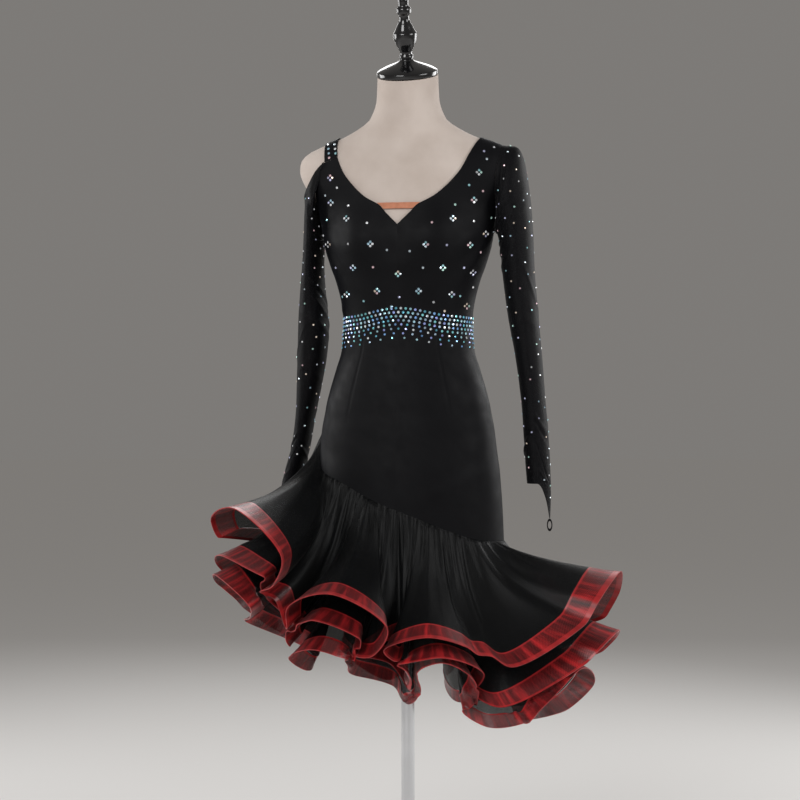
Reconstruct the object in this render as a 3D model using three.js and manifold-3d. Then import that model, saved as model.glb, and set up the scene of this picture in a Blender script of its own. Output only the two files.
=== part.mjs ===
// A ballroom dance dress shown on a limbless dress form: a fitted black stretch sheath with a V neck,
// one set-in mesh sleeve, one off-shoulder mesh sleeve with a separate shoulder strap, and three tiers
// of sheer flounce on a slanting seam, each edged with a wide red horsehair braid.
// Millimetres, +Z up. The front faces -Y, and the origin is the centre of the stand's underside.
// "Left" and "right" are as seen from the front, so the left side is at -X.
// A turn is an angle round the pole in degrees: 0 is the front and 90 is the right side, at +X.

import * as THREE from "three";
import { mergeVertices } from "three/addons/utils/BufferGeometryUtils.js";
import Module from "manifold-3d";

const wasm = await Module();
wasm.setup();

// Driving sizes
const jersey = 1.2; // wall of the bodice, straps and sleeves
const organza = 1.0; // wall of a flounce tier and of its braid
const seamGap = 0.3; // between two pieces that are sewn together
const braidWidth = 38; // horsehair braid along each hem
const formFoot = 690; // underside of the dress form above the floor
const neckTop = 1482; // centre of the form's slanting neck plate
const neckTilt = 17; // degrees that the neck plate leans forward
const poleRadius = 12;
const baseRadius = 160;
const baseHeight = 14;

const degrees = Math.PI / 180;

// The dress form, a row for each level section: half its width, its depth in front of and behind the
// pole, and how far outside it the dress's outer face lies.
const figure = [
  { z: 640, side: 146, front: 92, back: 98, ease: 28 },
  { z: 700, side: 149, front: 97, back: 104, ease: 22.5 },
  { z: 738, side: 150, front: 100, back: 107, ease: 19 },
  { z: 774, side: 150, front: 102, back: 110, ease: 16 },
  { z: 810, side: 149.5, front: 103, back: 112, ease: 11.5 },
  { z: 850, side: 148, front: 103, back: 113, ease: 8 },
  { z: 882, side: 145, front: 102, back: 111, ease: 5 },
  { z: 914, side: 138, front: 99, back: 106, ease: 4.6 },
  { z: 954, side: 127, front: 94, back: 95, ease: 3.8 },
  { z: 990, side: 117.5, front: 89, back: 84, ease: 3 },
  { z: 1026, side: 114.5, front: 86, back: 80, ease: 3 },
  { z: 1053, side: 115, front: 86, back: 80, ease: 3 },
  { z: 1078, side: 118.5, front: 88, back: 82, ease: 3 },
  { z: 1114, side: 128, front: 93, back: 86, ease: 3 },
  { z: 1144, side: 137.5, front: 97, back: 90, ease: 4.4 },
  { z: 1175, side: 147, front: 98, back: 93, ease: 4.4 },
  { z: 1203, side: 152, front: 96, back: 95, ease: 4.4 },
  { z: 1225, side: 156, front: 92, back: 96, ease: 4.4 },
  { z: 1250, side: 164, front: 87, back: 96, ease: 3 },
  { z: 1274, side: 180, front: 81, back: 94, ease: 3 },
  { z: 1292, side: 192, front: 76, back: 90, ease: 3 },
  { z: 1314, side: 199, front: 69, back: 84, ease: 3 },
  { z: 1328, side: 198, front: 64, back: 79, ease: 3 },
  { z: 1337, side: 193, front: 60, back: 75, ease: 3 },
  { z: 1346, side: 183, front: 56, back: 71, ease: 3 },
  { z: 1359, side: 155, front: 50, back: 64, ease: 3 },
  { z: 1373, side: 119, front: 46, back: 58, ease: 3 },
  { z: 1390, side: 88, front: 45, back: 54, ease: 3 },
  { z: 1404, side: 70, front: 48, back: 52, ease: 3 },
  { z: 1440, side: 56.5, front: 55, back: 50, ease: 3 },
  { z: 1500, side: 54, front: 61, back: 46, ease: 3 },
];

// The two bust cups stand out from the chest as soft mounds.
const cup = { x: 76, z: 1188, depth: 17, across: 46, up: 44 };

// The slanting seam that carries the flounce: its height at each turn.
const seam = [
  { turn: -115, z: 836 },
  { turn: -95, z: 846 },
  { turn: -80, z: 835 },
  { turn: -70, z: 797 },
  { turn: -60, z: 773 },
  { turn: -40, z: 757 },
  { turn: -13, z: 724 },
  { turn: 12, z: 697 },
  { turn: 37, z: 670 },
  { turn: 60, z: 655 },
  { turn: 95, z: 651 },
  { turn: 130, z: 668 },
  { turn: 160, z: 706 },
  { turn: 190, z: 752 },
  { turn: 225, z: 812 },
];

// Value of a named column at a place along the rows, on a smooth curve that doesn't overshoot.
function along(rows, key, name, at) {
  const last = rows.length - 1;
  if (at <= rows[0][key]) return rows[0][name];
  if (at >= rows[last][key]) return rows[last][name];
  const i = rows.findIndex((row) => row[key] > at) - 1;
  const step = (j) => rows[j + 1][key] - rows[j][key];
  const rise = (j) => (rows[j + 1][name] - rows[j][name]) / step(j);
  const slope = (j) => {
    if (j === 0) return rise(0);
    if (j === last) return rise(last - 1);
    const before = rise(j - 1);
    const after = rise(j);
    return before * after <= 0 ? 0 : (2 * before * after) / (before + after);
  };
  const h = step(i);
  const t = (at - rows[i][key]) / h;
  const blend = t * t * (3 - 2 * t);
  const startTangent = h * slope(i) * t * (1 - t) * (1 - t);
  const endTangent = h * slope(i + 1) * t * t * (t - 1);
  return rows[i][name] * (1 - blend) + rows[i + 1][name] * blend + startTangent + endTangent;
}

// The same for rows that go all the way round the pole.
function aroundPole(rows, name, turn) {
  const first = rows[0].turn;
  const wrapped = first + ((((turn - first) % 360) + 360) % 360);
  const ring = [...rows, ...rows.slice(0, 2).map((row) => ({ ...row, turn: row.turn + 360 }))];
  return along([{ ...rows.at(-1), turn: rows.at(-1).turn - 360 }, ...ring], "turn", name, wrapped);
}

const mix = (a, b, t) => a + (b - a) * t;
const steps = (count, from = 0, to = 1) =>
  Array.from({ length: count + 1 }, (_, i) => mix(from, to, i / count));
const seamHeight = (turn) => aroundPole(seam, "z", turn);

// A point on the dress form at a turn of its own sections and a height.
function formPoint(turn, z) {
  const s = Math.sin(turn * degrees);
  const c = Math.cos(turn * degrees);
  const x = along(figure, "z", "side", z) * s;
  const depth = along(figure, "z", c > 0 ? "front" : "back", z);
  const across = (Math.abs(x) - cup.x) / cup.across;
  const up = (z - cup.z) / cup.up;
  const mound = c > 0 ? cup.depth * c * Math.exp(-across * across - up * up) : 0;
  return new THREE.Vector3(x, -depth * c - mound, z);
}

// Unit normal of a surface of two parameters, and a point a distance below its outer face.
function inside(surface, a, b, depth, stepA, stepB) {
  const da = surface(a + stepA, b).sub(surface(a - stepA, b));
  const db = surface(a, b + stepB).sub(surface(a, b - stepB));
  return surface(a, b).addScaledVector(da.cross(db).normalize(), -depth);
}

// A point of the dress, a depth below its outer face.
const dressPoint = (turn, z, depth = 0) =>
  inside(formPoint, turn, z, depth - along(figure, "z", "ease", z), 0.5, 1);

// Solids

// A closed solid from triangles whose points are listed once.
function solidOf(points, triangles) {
  const geometry = new THREE.BufferGeometry();
  const coordinates = points.flatMap((p) => [p.x, p.y, p.z]);
  geometry.setAttribute("position", new THREE.Float32BufferAttribute(coordinates, 3));
  geometry.setIndex(triangles.flat());
  return manifoldOf(geometry);
}

function manifoldOf(geometry) {
  const bare = geometry.clone();
  bare.deleteAttribute("normal");
  bare.deleteAttribute("uv");
  const merged = mergeVertices(bare, 1e-4);
  return new wasm.Manifold(
    new wasm.Mesh({
      numProp: 3,
      vertProperties: new Float32Array(merged.attributes.position.array),
      triVerts: new Uint32Array(merged.index.array),
    }),
  );
}

// Two triangles for each cell of a grid of point numbers.
function cells(grid, closed) {
  const triangles = [];
  const columns = closed ? grid.length : grid.length - 1;
  for (let i = 0; i < columns; i++) {
    const here = grid[i];
    const next = grid[(i + 1) % grid.length];
    for (let j = 0; j < here.length - 1; j++) {
      triangles.push([here[j], next[j], next[j + 1]], [here[j], next[j + 1], here[j + 1]]);
    }
  }
  return triangles;
}

// The same triangles seen from their other side.
const turned = (triangles) => triangles.map((triangle) => triangle.toReversed());

// A wall of cloth between an outer and an inner grid of points, open at its top and bottom rows and,
// unless it is closed round, at its two end columns. The rims between the two faces are shut.
function clothWall(outer, inner, closed) {
  const rows = outer[0].length;
  const points = [...outer.flat(), ...inner.flat()];
  const outerIds = outer.map((column, i) => column.map((_, j) => i * rows + j));
  const innerIds = outerIds.map((column) => column.map((id) => id + outer.length * rows));
  const rim = (pick) => cells(outerIds.map((column, i) => [pick(innerIds[i]), pick(column)]), closed);
  const triangles = [
    ...cells(outerIds, closed),
    ...turned(cells(innerIds, closed)),
    ...rim((column) => column[0]),
    ...turned(rim((column) => column.at(-1))),
  ];
  if (!closed) {
    triangles.push(...cells([innerIds[0], outerIds[0]], false));
    triangles.push(...cells([outerIds.at(-1), innerIds.at(-1)], false));
  }
  return solidOf(points, triangles);
}

// A solid skin round level rings, shut by a fan at each end.
function ringSolid(rings) {
  const count = rings[0].length;
  const centre = (ring) => ring.reduce((sum, p) => sum.add(p), new THREE.Vector3()).divideScalar(count);
  const points = [...rings.flat(), centre(rings[0]), centre(rings.at(-1))];
  const columns = steps(count - 1, 0, count - 1).map((i) => rings.map((_, j) => j * count + i));
  const bottom = points.length - 2;
  const top = points.length - 1;
  const fans = columns.flatMap((column, i) => {
    const next = columns[(i + 1) % count];
    return [
      [bottom, next[0], column[0]],
      [top, column.at(-1), next.at(-1)],
    ];
  });
  return solidOf(points, [...cells(columns, true), ...fans]);
}

// A prism through the part from front to back, from an outline of [x, z] corners.
function prism(outline, fromY = -600, toY = 600) {
  const shape = new THREE.Shape(outline.map(([x, z]) => new THREE.Vector2(x, z)));
  const geometry = new THREE.ExtrudeGeometry(shape, { depth: toY - fromY, bevelEnabled: false });
  geometry.rotateX(Math.PI / 2);
  geometry.translate(0, toY, 0);
  return manifoldOf(geometry);
}

function geometryOf(solid) {
  const mesh = solid.getMesh();
  const geometry = new THREE.BufferGeometry();
  const positions = new Float32Array(mesh.numVert * 3);
  for (let i = 0; i < mesh.numVert; i++) {
    positions.set(mesh.vertProperties.subarray(i * mesh.numProp, i * mesh.numProp + 3), i * 3);
  }
  geometry.setAttribute("position", new THREE.BufferAttribute(positions, 3));
  geometry.setIndex(new THREE.BufferAttribute(mesh.triVerts, 1));
  geometry.computeVertexNormals();
  return geometry;
}

// Materials

const blackJersey = new THREE.MeshStandardMaterial({ color: 0x0c0c0e, roughness: 0.62, metalness: 0 });
const blackMesh = new THREE.MeshStandardMaterial({ color: 0x101012, roughness: 0.7, metalness: 0 });
const blackOrganza = new THREE.MeshStandardMaterial({ color: 0x0e0f10, roughness: 0.5, metalness: 0 });
const redBraid = new THREE.MeshStandardMaterial({ color: 0x8f1418, roughness: 0.4, metalness: 0 });
const nudeElastic = new THREE.MeshStandardMaterial({ color: 0xc97b58, roughness: 0.7, metalness: 0 });
const ivoryLinen = new THREE.MeshStandardMaterial({ color: 0xd3cac2, roughness: 0.85, metalness: 0 });
const blackLacquer = new THREE.MeshStandardMaterial({ color: 0x060607, roughness: 0.15, metalness: 0 });
const polishedSteel = new THREE.MeshStandardMaterial({ color: 0xc8cacc, roughness: 0.15, metalness: 1 });

const dress = new THREE.Group();
const stand = new THREE.Group();

function add(group, name, solid, material) {
  const mesh = new THREE.Mesh(geometryOf(solid), material);
  mesh.name = name;
  group.add(mesh);
}

// The bodice and sheath, one tube that is then cut into its pieces

const shoulderTop = 1392; // above the highest cloth
const tubeColumns = 40;
const seamRows = 3; // rows between the slanting seam and the first level one
const levelRows = [
  960, 1000, 1040, 1085, 1130, 1165, 1200, 1235, 1270, 1300, 1324, 1342, 1356, shoulderTop,
];

function tubeColumn(turn, depth) {
  const lower = steps(seamRows, seamHeight(turn) - 10, levelRows[0]).slice(0, -1);
  return [...lower, ...levelRows].map((z) => dressPoint(turn, z, depth));
}

function tube(depth, thickness) {
  const turns = steps(tubeColumns - 1, 0, 360 - 360 / tubeColumns);
  const face = (below) => turns.map((turn) => tubeColumn(turn, below));
  return clothWall(face(depth), face(depth + thickness), true);
}

// The neckline in front, from the foot of the V to the shoulder. It is the same on both sides.
const neckline = [
  { x: 0, z: 1210 },
  { x: 10, z: 1214 },
  { x: 22, z: 1228 },
  { x: 34, z: 1244 },
  { x: 62, z: 1260 },
  { x: 91, z: 1287 },
  { x: 108, z: 1310 },
  { x: 119, z: 1334 },
  { x: 128, z: 1353 },
  { x: 134, z: 1366 },
  { x: 141, z: shoulderTop + 8 },
];

// The neckline behind, hidden in the photograph: a plain scoop.
const backNeckline = [
  { x: 0, z: 1296 },
  { x: 40, z: 1300 },
  { x: 80, z: 1313 },
  { x: 105, z: 1326 },
  { x: 119, z: 1334 },
  { x: 128, z: 1353 },
  { x: 134, z: 1366 },
  { x: 141, z: shoulderTop + 8 },
];

// The armholes, seen from the front, from the underarm up: the set-in sleeve's to the shoulder, and the
// open shoulder's to the foot of the strap.
const armhole = [
  { z: 1199, x: 154 },
  { z: 1212, x: 157 },
  { z: 1232, x: 160.5 },
  { z: 1262, x: 163 },
  { z: 1292, x: 165 },
  { z: 1320, x: 168 },
  { z: 1345, x: 172 },
  { z: 1400, x: 182 },
];

const openArmhole = [
  { z: 1199, x: 154 },
  { z: 1212, x: 157 },
  { z: 1232, x: 160.5 },
  { z: 1255, x: 163 },
  { z: 1280, x: 161 },
  { z: 1305, x: 153 },
  { z: 1325, x: 143 },
];

const underarm = armhole[0];

// The strap of the open shoulder: where it leaves the bodice, and its edges at the top of the shoulder.
const strap = {
  outerFoot: [-143, 1325],
  innerFoot: [-119, 1334],
  outerTop: [-153, 1400],
  innerTop: [-129, 1400],
};

// The outline of a bodice panel seen from the front.
function panelOutline(edge) {
  const side = 500;
  const floor = 500;
  const rightArmhole = armhole.map(({ x, z }) => [x, z]);
  const rightNeck = edge.toReversed().map(({ x, z }) => [x, z]);
  const besideStrap = edge.filter(({ z }) => z > edge[0].z && z < strap.innerFoot[1]);
  const leftNeck = besideStrap.map(({ x, z }) => [-x, z]);
  const leftArmhole = openArmhole.toReversed().map(({ x, z }) => [-x, z]);
  return [
    [-side, floor],
    [side, floor],
    [side, underarm.z],
    ...rightArmhole,
    ...rightNeck,
    ...leftNeck,
    strap.innerFoot,
    ...leftArmhole,
    [-side, underarm.z],
  ];
}

const foldCount = 7; // of each flounce tier
const foldColumns = 16; // columns of triangles in each
const tierColumns = foldCount * foldColumns;
const firstHollow = -100; // turn of the seam where the first fold begins
const foldPitch = 360 / foldCount; // the folds share the seam evenly
const ring = steps(tierColumns - 1, 0, tierColumns - 1);

// The turn in the form's own sections of a direction from the pole.
function sectionTurn(turn, z) {
  const depth = along(figure, "z", Math.cos(turn * degrees) > 0 ? "front" : "back", z);
  const side = along(figure, "z", "side", z);
  const round = 360 * Math.round(turn / 360);
  return Math.atan2(Math.sin(turn * degrees) / side, Math.cos(turn * degrees) / depth) / degrees + round;
}

// A point of the slanting seam, at a place among the folds.
function seamPoint(place, depth) {
  const turn = sectionTurn(firstHollow + place * foldPitch, 740);
  return dressPoint(turn, seamHeight(turn), depth);
}

// A narrow ring just under the slanting seam, that trims the tube to it.
function belowSeam() {
  const spoke = (beside) =>
    ring.map((column) => {
      const foot = seamPoint(column / foldColumns, 0);
      const spread = 1 + beside / Math.hypot(foot.x, foot.y);
      foot.set(foot.x * spread, foot.y * spread, foot.z);
      return [foot.clone().setZ(foot.z - 20), foot];
    });
  return clothWall(spoke(2.5), spoke(-4), true);
}

const frontHalf = [-600, -seamGap / 2];
const backHalf = [seamGap / 2, 600];
const dressTube = tube(0, jersey).subtract(belowSeam());

add(dress, "bodice_front", dressTube.intersect(prism(panelOutline(neckline), ...frontHalf)), blackJersey);
add(dress, "bodice_back", dressTube.intersect(prism(panelOutline(backNeckline), ...backHalf)), blackJersey);

const strapOutline = [strap.outerFoot, strap.innerFoot, strap.innerTop, strap.outerTop].map(([x, z], i) =>
  i < 2 ? [x, z + 2 * seamGap] : [x, z],
);
add(dress, "shoulder_strap", dressTube.intersect(prism(strapOutline)), blackJersey);

// A skin-coloured elastic holds the neckline together across the V.
const elasticFoot = 1237;
const elasticTop = 1248;
const neckX = (z) => along(neckline.slice(0, -1), "z", "x", z);
const elasticFree = 0.8; // clear of the neckline at each end
const elasticSide = steps(2, elasticFoot, elasticTop).map((z) => [neckX(z) - elasticFree, z]);
const elasticOutline = [...elasticSide, ...elasticSide.map(([x, z]) => [-x, z]).toReversed()];
add(dress, "neck_elastic", tube(0.2, 1).intersect(prism(elasticOutline, -600, 0)), nudeElastic);

// Sleeves

// A sleeve hangs from its armhole as a row of oval sections. Each row gives the section's two ends seen
// from the front, its half depth, and how far behind the pole it hangs. The last rows run past the cuff.
const setInSleeve = [
  { outX: 199, outZ: 1350, inX: 160, inZ: 1200, depth: 49, y: 0 },
  { outX: 209, outZ: 1333, inX: 162, inZ: 1197, depth: 50, y: 0 },
  { outX: 216, outZ: 1300, inX: 164, inZ: 1192, depth: 50, y: 1 },
  { outX: 222, outZ: 1255, inX: 166, inZ: 1184, depth: 49, y: 1 },
  { outX: 226, outZ: 1205, inX: 168, inZ: 1168, depth: 47, y: 2 },
  { outX: 229, outZ: 1130, inX: 172, inZ: 1125, depth: 44, y: 3 },
  { outX: 236, outZ: 1048, inX: 182, inZ: 1048, depth: 40, y: 3 },
  { outX: 242, outZ: 985, inX: 194, inZ: 985, depth: 37, y: 1 },
  { outX: 249, outZ: 902, inX: 206, inZ: 902, depth: 34, y: -3 },
  { outX: 256, outZ: 825, inX: 212, inZ: 825, depth: 31, y: -7 },
  { outX: 259, outZ: 770, inX: 216, inZ: 770, depth: 29, y: -9 },
  { outX: 260, outZ: 735, inX: 220, inZ: 735, depth: 27, y: -10 },
  { outX: 258, outZ: 676, inX: 232, inZ: 676, depth: 20, y: -10 },
];

const offShoulderSleeve = [
  { outX: -187, outZ: 1248, inX: -158, inZ: 1196, depth: 50, y: 0 },
  { outX: -189, outZ: 1215, inX: -157, inZ: 1182, depth: 49, y: 1 },
  { outX: -192, outZ: 1160, inX: -158, inZ: 1145, depth: 47, y: 2 },
  { outX: -198, outZ: 1100, inX: -155, inZ: 1100, depth: 44, y: 4 },
  { outX: -203, outZ: 1042, inX: -149, inZ: 1042, depth: 41, y: 7 },
  { outX: -206, outZ: 985, inX: -153, inZ: 985, depth: 37, y: 12 },
  { outX: -209, outZ: 930, inX: -164, inZ: 930, depth: 34, y: 18 },
  { outX: -213, outZ: 873, inX: -178, inZ: 873, depth: 32, y: 26 },
  { outX: -223, outZ: 815, inX: -190, inZ: 815, depth: 30, y: 34 },
  { outX: -237, outZ: 770, inX: -203, inZ: 770, depth: 28, y: 40 },
  { outX: -246, outZ: 735, inX: -212, inZ: 735, depth: 25, y: 44 },
  { outX: -252, outZ: 676, inX: -230, inZ: 676, depth: 18, y: 46 },
];

const sleeveColumns = 14;

// One section. A turn of 0 is its outer end, 90 its front and 180 its inner end.
function sleeveSection(row) {
  const middle = new THREE.Vector3((row.outX + row.inX) / 2, row.y, (row.outZ + row.inZ) / 2);
  const reach = new THREE.Vector3((row.outX - row.inX) / 2, 0, (row.outZ - row.inZ) / 2);
  return (turn) => {
    const point = middle.clone().addScaledVector(reach, Math.cos(turn * degrees));
    point.y -= row.depth * Math.sin(turn * degrees);
    return point;
  };
}

// The point of the dress's outer face that is a distance to one side of the pole, at a section's height.
function onDress(side, distance, z, front) {
  const turnOf = (share) => side * (front ? mix(0, 90, share) : mix(180, 90, share));
  let low = 0;
  let high = 1;
  for (let i = 0; i < 20; i++) {
    const middle = (low + high) / 2;
    if (Math.abs(dressPoint(turnOf(middle), z).x) < distance) low = middle;
    else high = middle;
  }
  return dressPoint(turnOf(high), z);
}

const tuckedIn = 2.5; // a sleeve is made this much too long at its armhole and then trimmed to it

// The section whose side point lies at a distance to one side of the pole, on top of the shoulder.
function shoulderSection(distance) {
  let low = 1330;
  let high = 1380;
  for (let i = 0; i < 20; i++) {
    const middle = (low + high) / 2;
    if (dressPoint(90, middle).x > distance) low = middle;
    else high = middle;
  }
  return low;
}

const armholeTop = shoulderSection(along(armhole, "z", "x", 1350) - tuckedIn);

// The set-in sleeve's upper edge, at a turn of its section.
function setInEdge(turn) {
  const z = mix(underarm.z + 1, armholeTop, (1 + Math.cos(turn * degrees)) / 2);
  return onDress(1, along(armhole, "z", "x", z) - tuckedIn, z, Math.sin(turn * degrees) >= 0);
}

// The free top edge of the off-shoulder sleeve, from its outermost point to the foot of the strap: its
// place across, in front of and behind the pole, and its height.
const freeEdge = [
  { turn: 0, x: -190, front: 0, back: 0, z: 1262 },
  { turn: 22, x: -186, front: 26, back: 32, z: 1268 },
  { turn: 45, x: -174, front: 42, back: 52, z: 1288 },
  { turn: 67.5, x: -158, front: 50, back: 61, z: 1312 },
  { turn: 90, x: -144, front: 50.5, back: 60, z: 1326 },
];

function offShoulderEdge(turn) {
  const folded = Math.abs(((turn + 540) % 360) - 180);
  const corner = freeEdge.at(-1);
  const front = Math.sin(turn * degrees) >= 0;
  if (folded < corner.turn) {
    const y = along(freeEdge, "turn", front ? "front" : "back", folded);
    const x = along(freeEdge, "turn", "x", folded);
    return new THREE.Vector3(x, front ? -y : y, along(freeEdge, "turn", "z", folded));
  }
  const z = mix(corner.z - 1, underarm.z + 1, (folded - corner.turn) / (180 - corner.turn));
  return onDress(-1, along(openArmhole, "z", "x", z) - tuckedIn, z, front);
}

// The cuff is cut to a point over the back of the hand, on the sleeve's outer end.
const cuff = { wrist: 752, point: 690, sharpness: 2.2 };

// The height where the sleeve ends at a turn of its section.
const cuffHeight = (turn) =>
  mix(cuff.wrist, cuff.point, Math.max(0, Math.cos(turn * degrees)) ** cuff.sharpness);

// A sleeve's outer face: share 0 is the armhole and 1 the cuff.
function sleeveSurface(rows, firstEdge) {
  const sections = rows.map((row) => sleeveSection(row));
  return (turn, share) => {
    const stops = [firstEdge(turn), ...sections.map((section) => section(turn))];
    const end = cuffHeight(turn);
    const below = stops.findIndex((p) => p.z < end);
    const rest = (stops[below - 1].z - end) / (stops[below - 1].z - stops[below].z);
    const whole = below - 1 + rest;
    const at = Math.max(0, Math.min(share, 1)) * whole;
    const i = Math.min(Math.floor(at), stops.length - 2);
    const first = Math.max(0, i - 1);
    const near = stops.slice(first, i + 3);
    return new THREE.CatmullRomCurve3(near, false, "centripetal").getPoint((at - first) / (near.length - 1));
  };
}

function sleeve(rows, firstEdge) {
  const surface = sleeveSurface(rows, firstEdge);
  const shares = steps(rows.length - 1, 0, 1);
  const turns = steps(sleeveColumns - 1, 0, 360 - 360 / sleeveColumns);
  const sumAt = (share) => turns.reduce((sum, turn) => sum.add(surface(turn, share)), new THREE.Vector3());
  const centre = shares.map((share) => sumAt(share).divideScalar(turns.length));
  // The wall goes inwards: towards the section's middle, by its true thickness.
  const outer = turns.map((turn) => shares.map((share) => surface(turn, share)));
  const inner = turns.map((turn, i) =>
    shares.map((share, j) => {
      const next = outer[(i + 1) % turns.length][j];
      const before = outer[(i + turns.length - 1) % turns.length][j];
      const lower = outer[i][Math.min(j + 1, shares.length - 1)];
      const upper = outer[i][Math.max(j - 1, 0)];
      const normal = next.clone().sub(before).cross(lower.clone().sub(upper)).normalize();
      const inward = centre[j].clone().sub(outer[i][j]);
      return outer[i][j].clone().addScaledVector(normal, jersey * Math.sign(normal.dot(inward)));
    }),
  );
  const wall = clothWall(outer, inner, true);
  return wall.volume() < 0 ? clothWall(inner, outer, true) : wall;
}

// What lies inboard of an armhole, seen from the front, less the seam's gap. It reaches a little below
// the underarm, so that nothing of the sleeve is left on the side seam.
function inboard(rows, side) {
  const edge = rows.map(({ x, z }) => [side * (x + 2 * seamGap), z]);
  const foot = rows[0].z - 5;
  const top = rows.at(-1).z + seamGap;
  return prism([[side * 60, foot], [edge[0][0], foot], ...edge, [edge.at(-1)[0], top], [side * 60, top]]);
}

add(dress, "sleeve_right", sleeve(setInSleeve, setInEdge).subtract(inboard(armhole, 1)), blackMesh);
const leftSleeve = sleeve(offShoulderSleeve, offShoulderEdge).subtract(inboard(openArmhole, -1));
add(dress, "sleeve_left", leftSleeve, blackMesh);

// A small elastic loop for the finger hangs from each cuff's point.
const fingerLoop = { half: 10, width: 4, cord: 1 };

function loop(name, rows) {
  const tip = sleeveSurface(rows, () => new THREE.Vector3(rows[0].outX, 0, 1300))(0, 1);
  const geometry = new THREE.TorusGeometry(fingerLoop.width, fingerLoop.cord, 4, 10);
  geometry.scale(1, (fingerLoop.half - fingerLoop.cord) / fingerLoop.width, 1);
  geometry.rotateX(Math.PI / 2);
  geometry.translate(tip.x - Math.sign(tip.x) * 0.6, tip.y, tip.z - fingerLoop.half - 1.5);
  add(dress, name, manifoldOf(geometry), blackMesh);
}

loop("finger_loop_right", setInSleeve);
loop("finger_loop_left", offShoulderSleeve);

// Flounces

// Each tier is a ring of folds, a row for each from the left side round the front to the back. Its crest
// is given by turn, reach from the pole and height. Half is the mouth's half width and tall its height;
// neck is half the width where the fold shuts below the mouth, and inset how much nearer the pole that
// is. Sway moves the neck to the right, lean lifts the mouth's right side, and curl is how far the loops
// beside the neck hang down. The hollow to the fold's right is given by its dip columns.
function foldTable(rows) {
  const names = "turn reach height half tall neck inset sway lean curl dipTurn dipReach dip".split(" ");
  return rows.map((row) => Object.fromEntries(names.map((name, i) => [name, row[i]])));
}

const topFolds = foldTable([
  [-40, 376, 716, 106, 100, 58, 45, -50, -44, 8, -41, 290, 556],
  [-12, 325, 577, 93, 84, 67, 46, -44, -24, 14, 7, 188, 492],
  [17, 284, 503, 70, 40, 80, 30, 36, 4, 2, 47, 300, 449],
  [85, 388, 600, 92, 88, 94, 44, -16, -2, 0, 123, 236, 478],
  [143, 345, 566, 76, 80, 46, 44, 0, 6, 0, 162, 222, 490],
  [184, 335, 606, 78, 84, 44, 44, 0, 8, 0, 205, 222, 526],
  [228, 335, 668, 76, 84, 46, 44, 0, 10, 0, 262, 236, 630],
]);

const middleFolds = foldTable([
  [-51, 363, 632, 112, 70, 60, 87, -46, -14, 6, -43, 236, 500],
  [-20, 309, 530, 79, 56, 62, 58, -20, -10, 14, 2, 186, 446],
  [22, 278, 468, 84, 66, 55, 66, 12, 0, 4, 48, 262, 376],
  [86, 384, 496, 80, 50, 88, 46, -8, 2, 0, 123, 222, 392],
  [143, 326, 478, 68, 70, 40, 42, 0, 6, 0, 162, 208, 406],
  [184, 316, 518, 70, 72, 50, 36, 0, 8, 0, 205, 208, 446],
  [228, 320, 582, 68, 74, 40, 42, 0, 10, 0, 260, 208, 514],
]);

const bottomFolds = foldTable([
  [-58, 360, 596, 104, 74, 52, 66, -84, -14, 0, -45, 206, 460],
  [-23, 290, 478, 68, 44, 44, 50, 0, 0, 2, 2, 156, 404],
  [23, 268, 458, 74, 86, 54, 52, -4, -4, 3, 46, 240, 340],
  [71, 342, 442, 112, 90, 52, 56, -56, 0, 6, 121, 208, 318],
  [143, 306, 398, 60, 60, 40, 34, 0, 6, 0, 162, 194, 334],
  [184, 298, 438, 62, 62, 40, 34, 0, 8, 0, 205, 194, 374],
  [228, 302, 504, 60, 64, 34, 40, 0, 10, 0, 260, 194, 444],
]);

const flare = { out: 0.22, down: 0.7 }; // where a fold's line bends outwards
const gathers = { perFold: 8, depth: 2.2, reach: 95 };
const controls = 8; // stops of the hem's curve in each fold
const hemSteps = 24; // steps in each fold by which its length is measured
const evenness = 0.5; // how evenly the columns lie along the hem: 0 follows the stops, 1 the length

const away = (turn) => new THREE.Vector3(Math.sin(turn * degrees), -Math.cos(turn * degrees), 0);
const rightOf = (turn) => new THREE.Vector3(Math.cos(turn * degrees), Math.sin(turn * degrees), 0);

// The hem's stops: for each fold its left foot, loop and side, the crest, the right side, loop and foot,
// and the hollow after it.
function hemStops(folds) {
  return folds.flatMap((fold) => {
    const at = (across, inward, height) =>
      away(fold.turn)
        .multiplyScalar(fold.reach - inward)
        .addScaledVector(rightOf(fold.turn), across)
        .setZ(height);
    const waist = fold.height - fold.tall * 0.5;
    const foot = fold.height - fold.tall;
    const limb = (side) => {
      const bulge = side * fold.half;
      const end = fold.sway + side * fold.neck;
      const lift = side * fold.lean;
      return [
        at(end, fold.inset, foot + lift),
        at((bulge + end) / 2, fold.inset * 0.8, mix(waist, foot, 0.7) + lift * 0.85 - fold.curl),
        at(bulge, fold.inset * 0.45, waist + lift * 0.6),
      ];
    };
    const hollow = away(fold.dipTurn).multiplyScalar(fold.dipReach).setZ(fold.dip);
    return [...limb(-1), at(0, 0, fold.height), ...limb(1).reverse(), hollow];
  });
}

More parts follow.
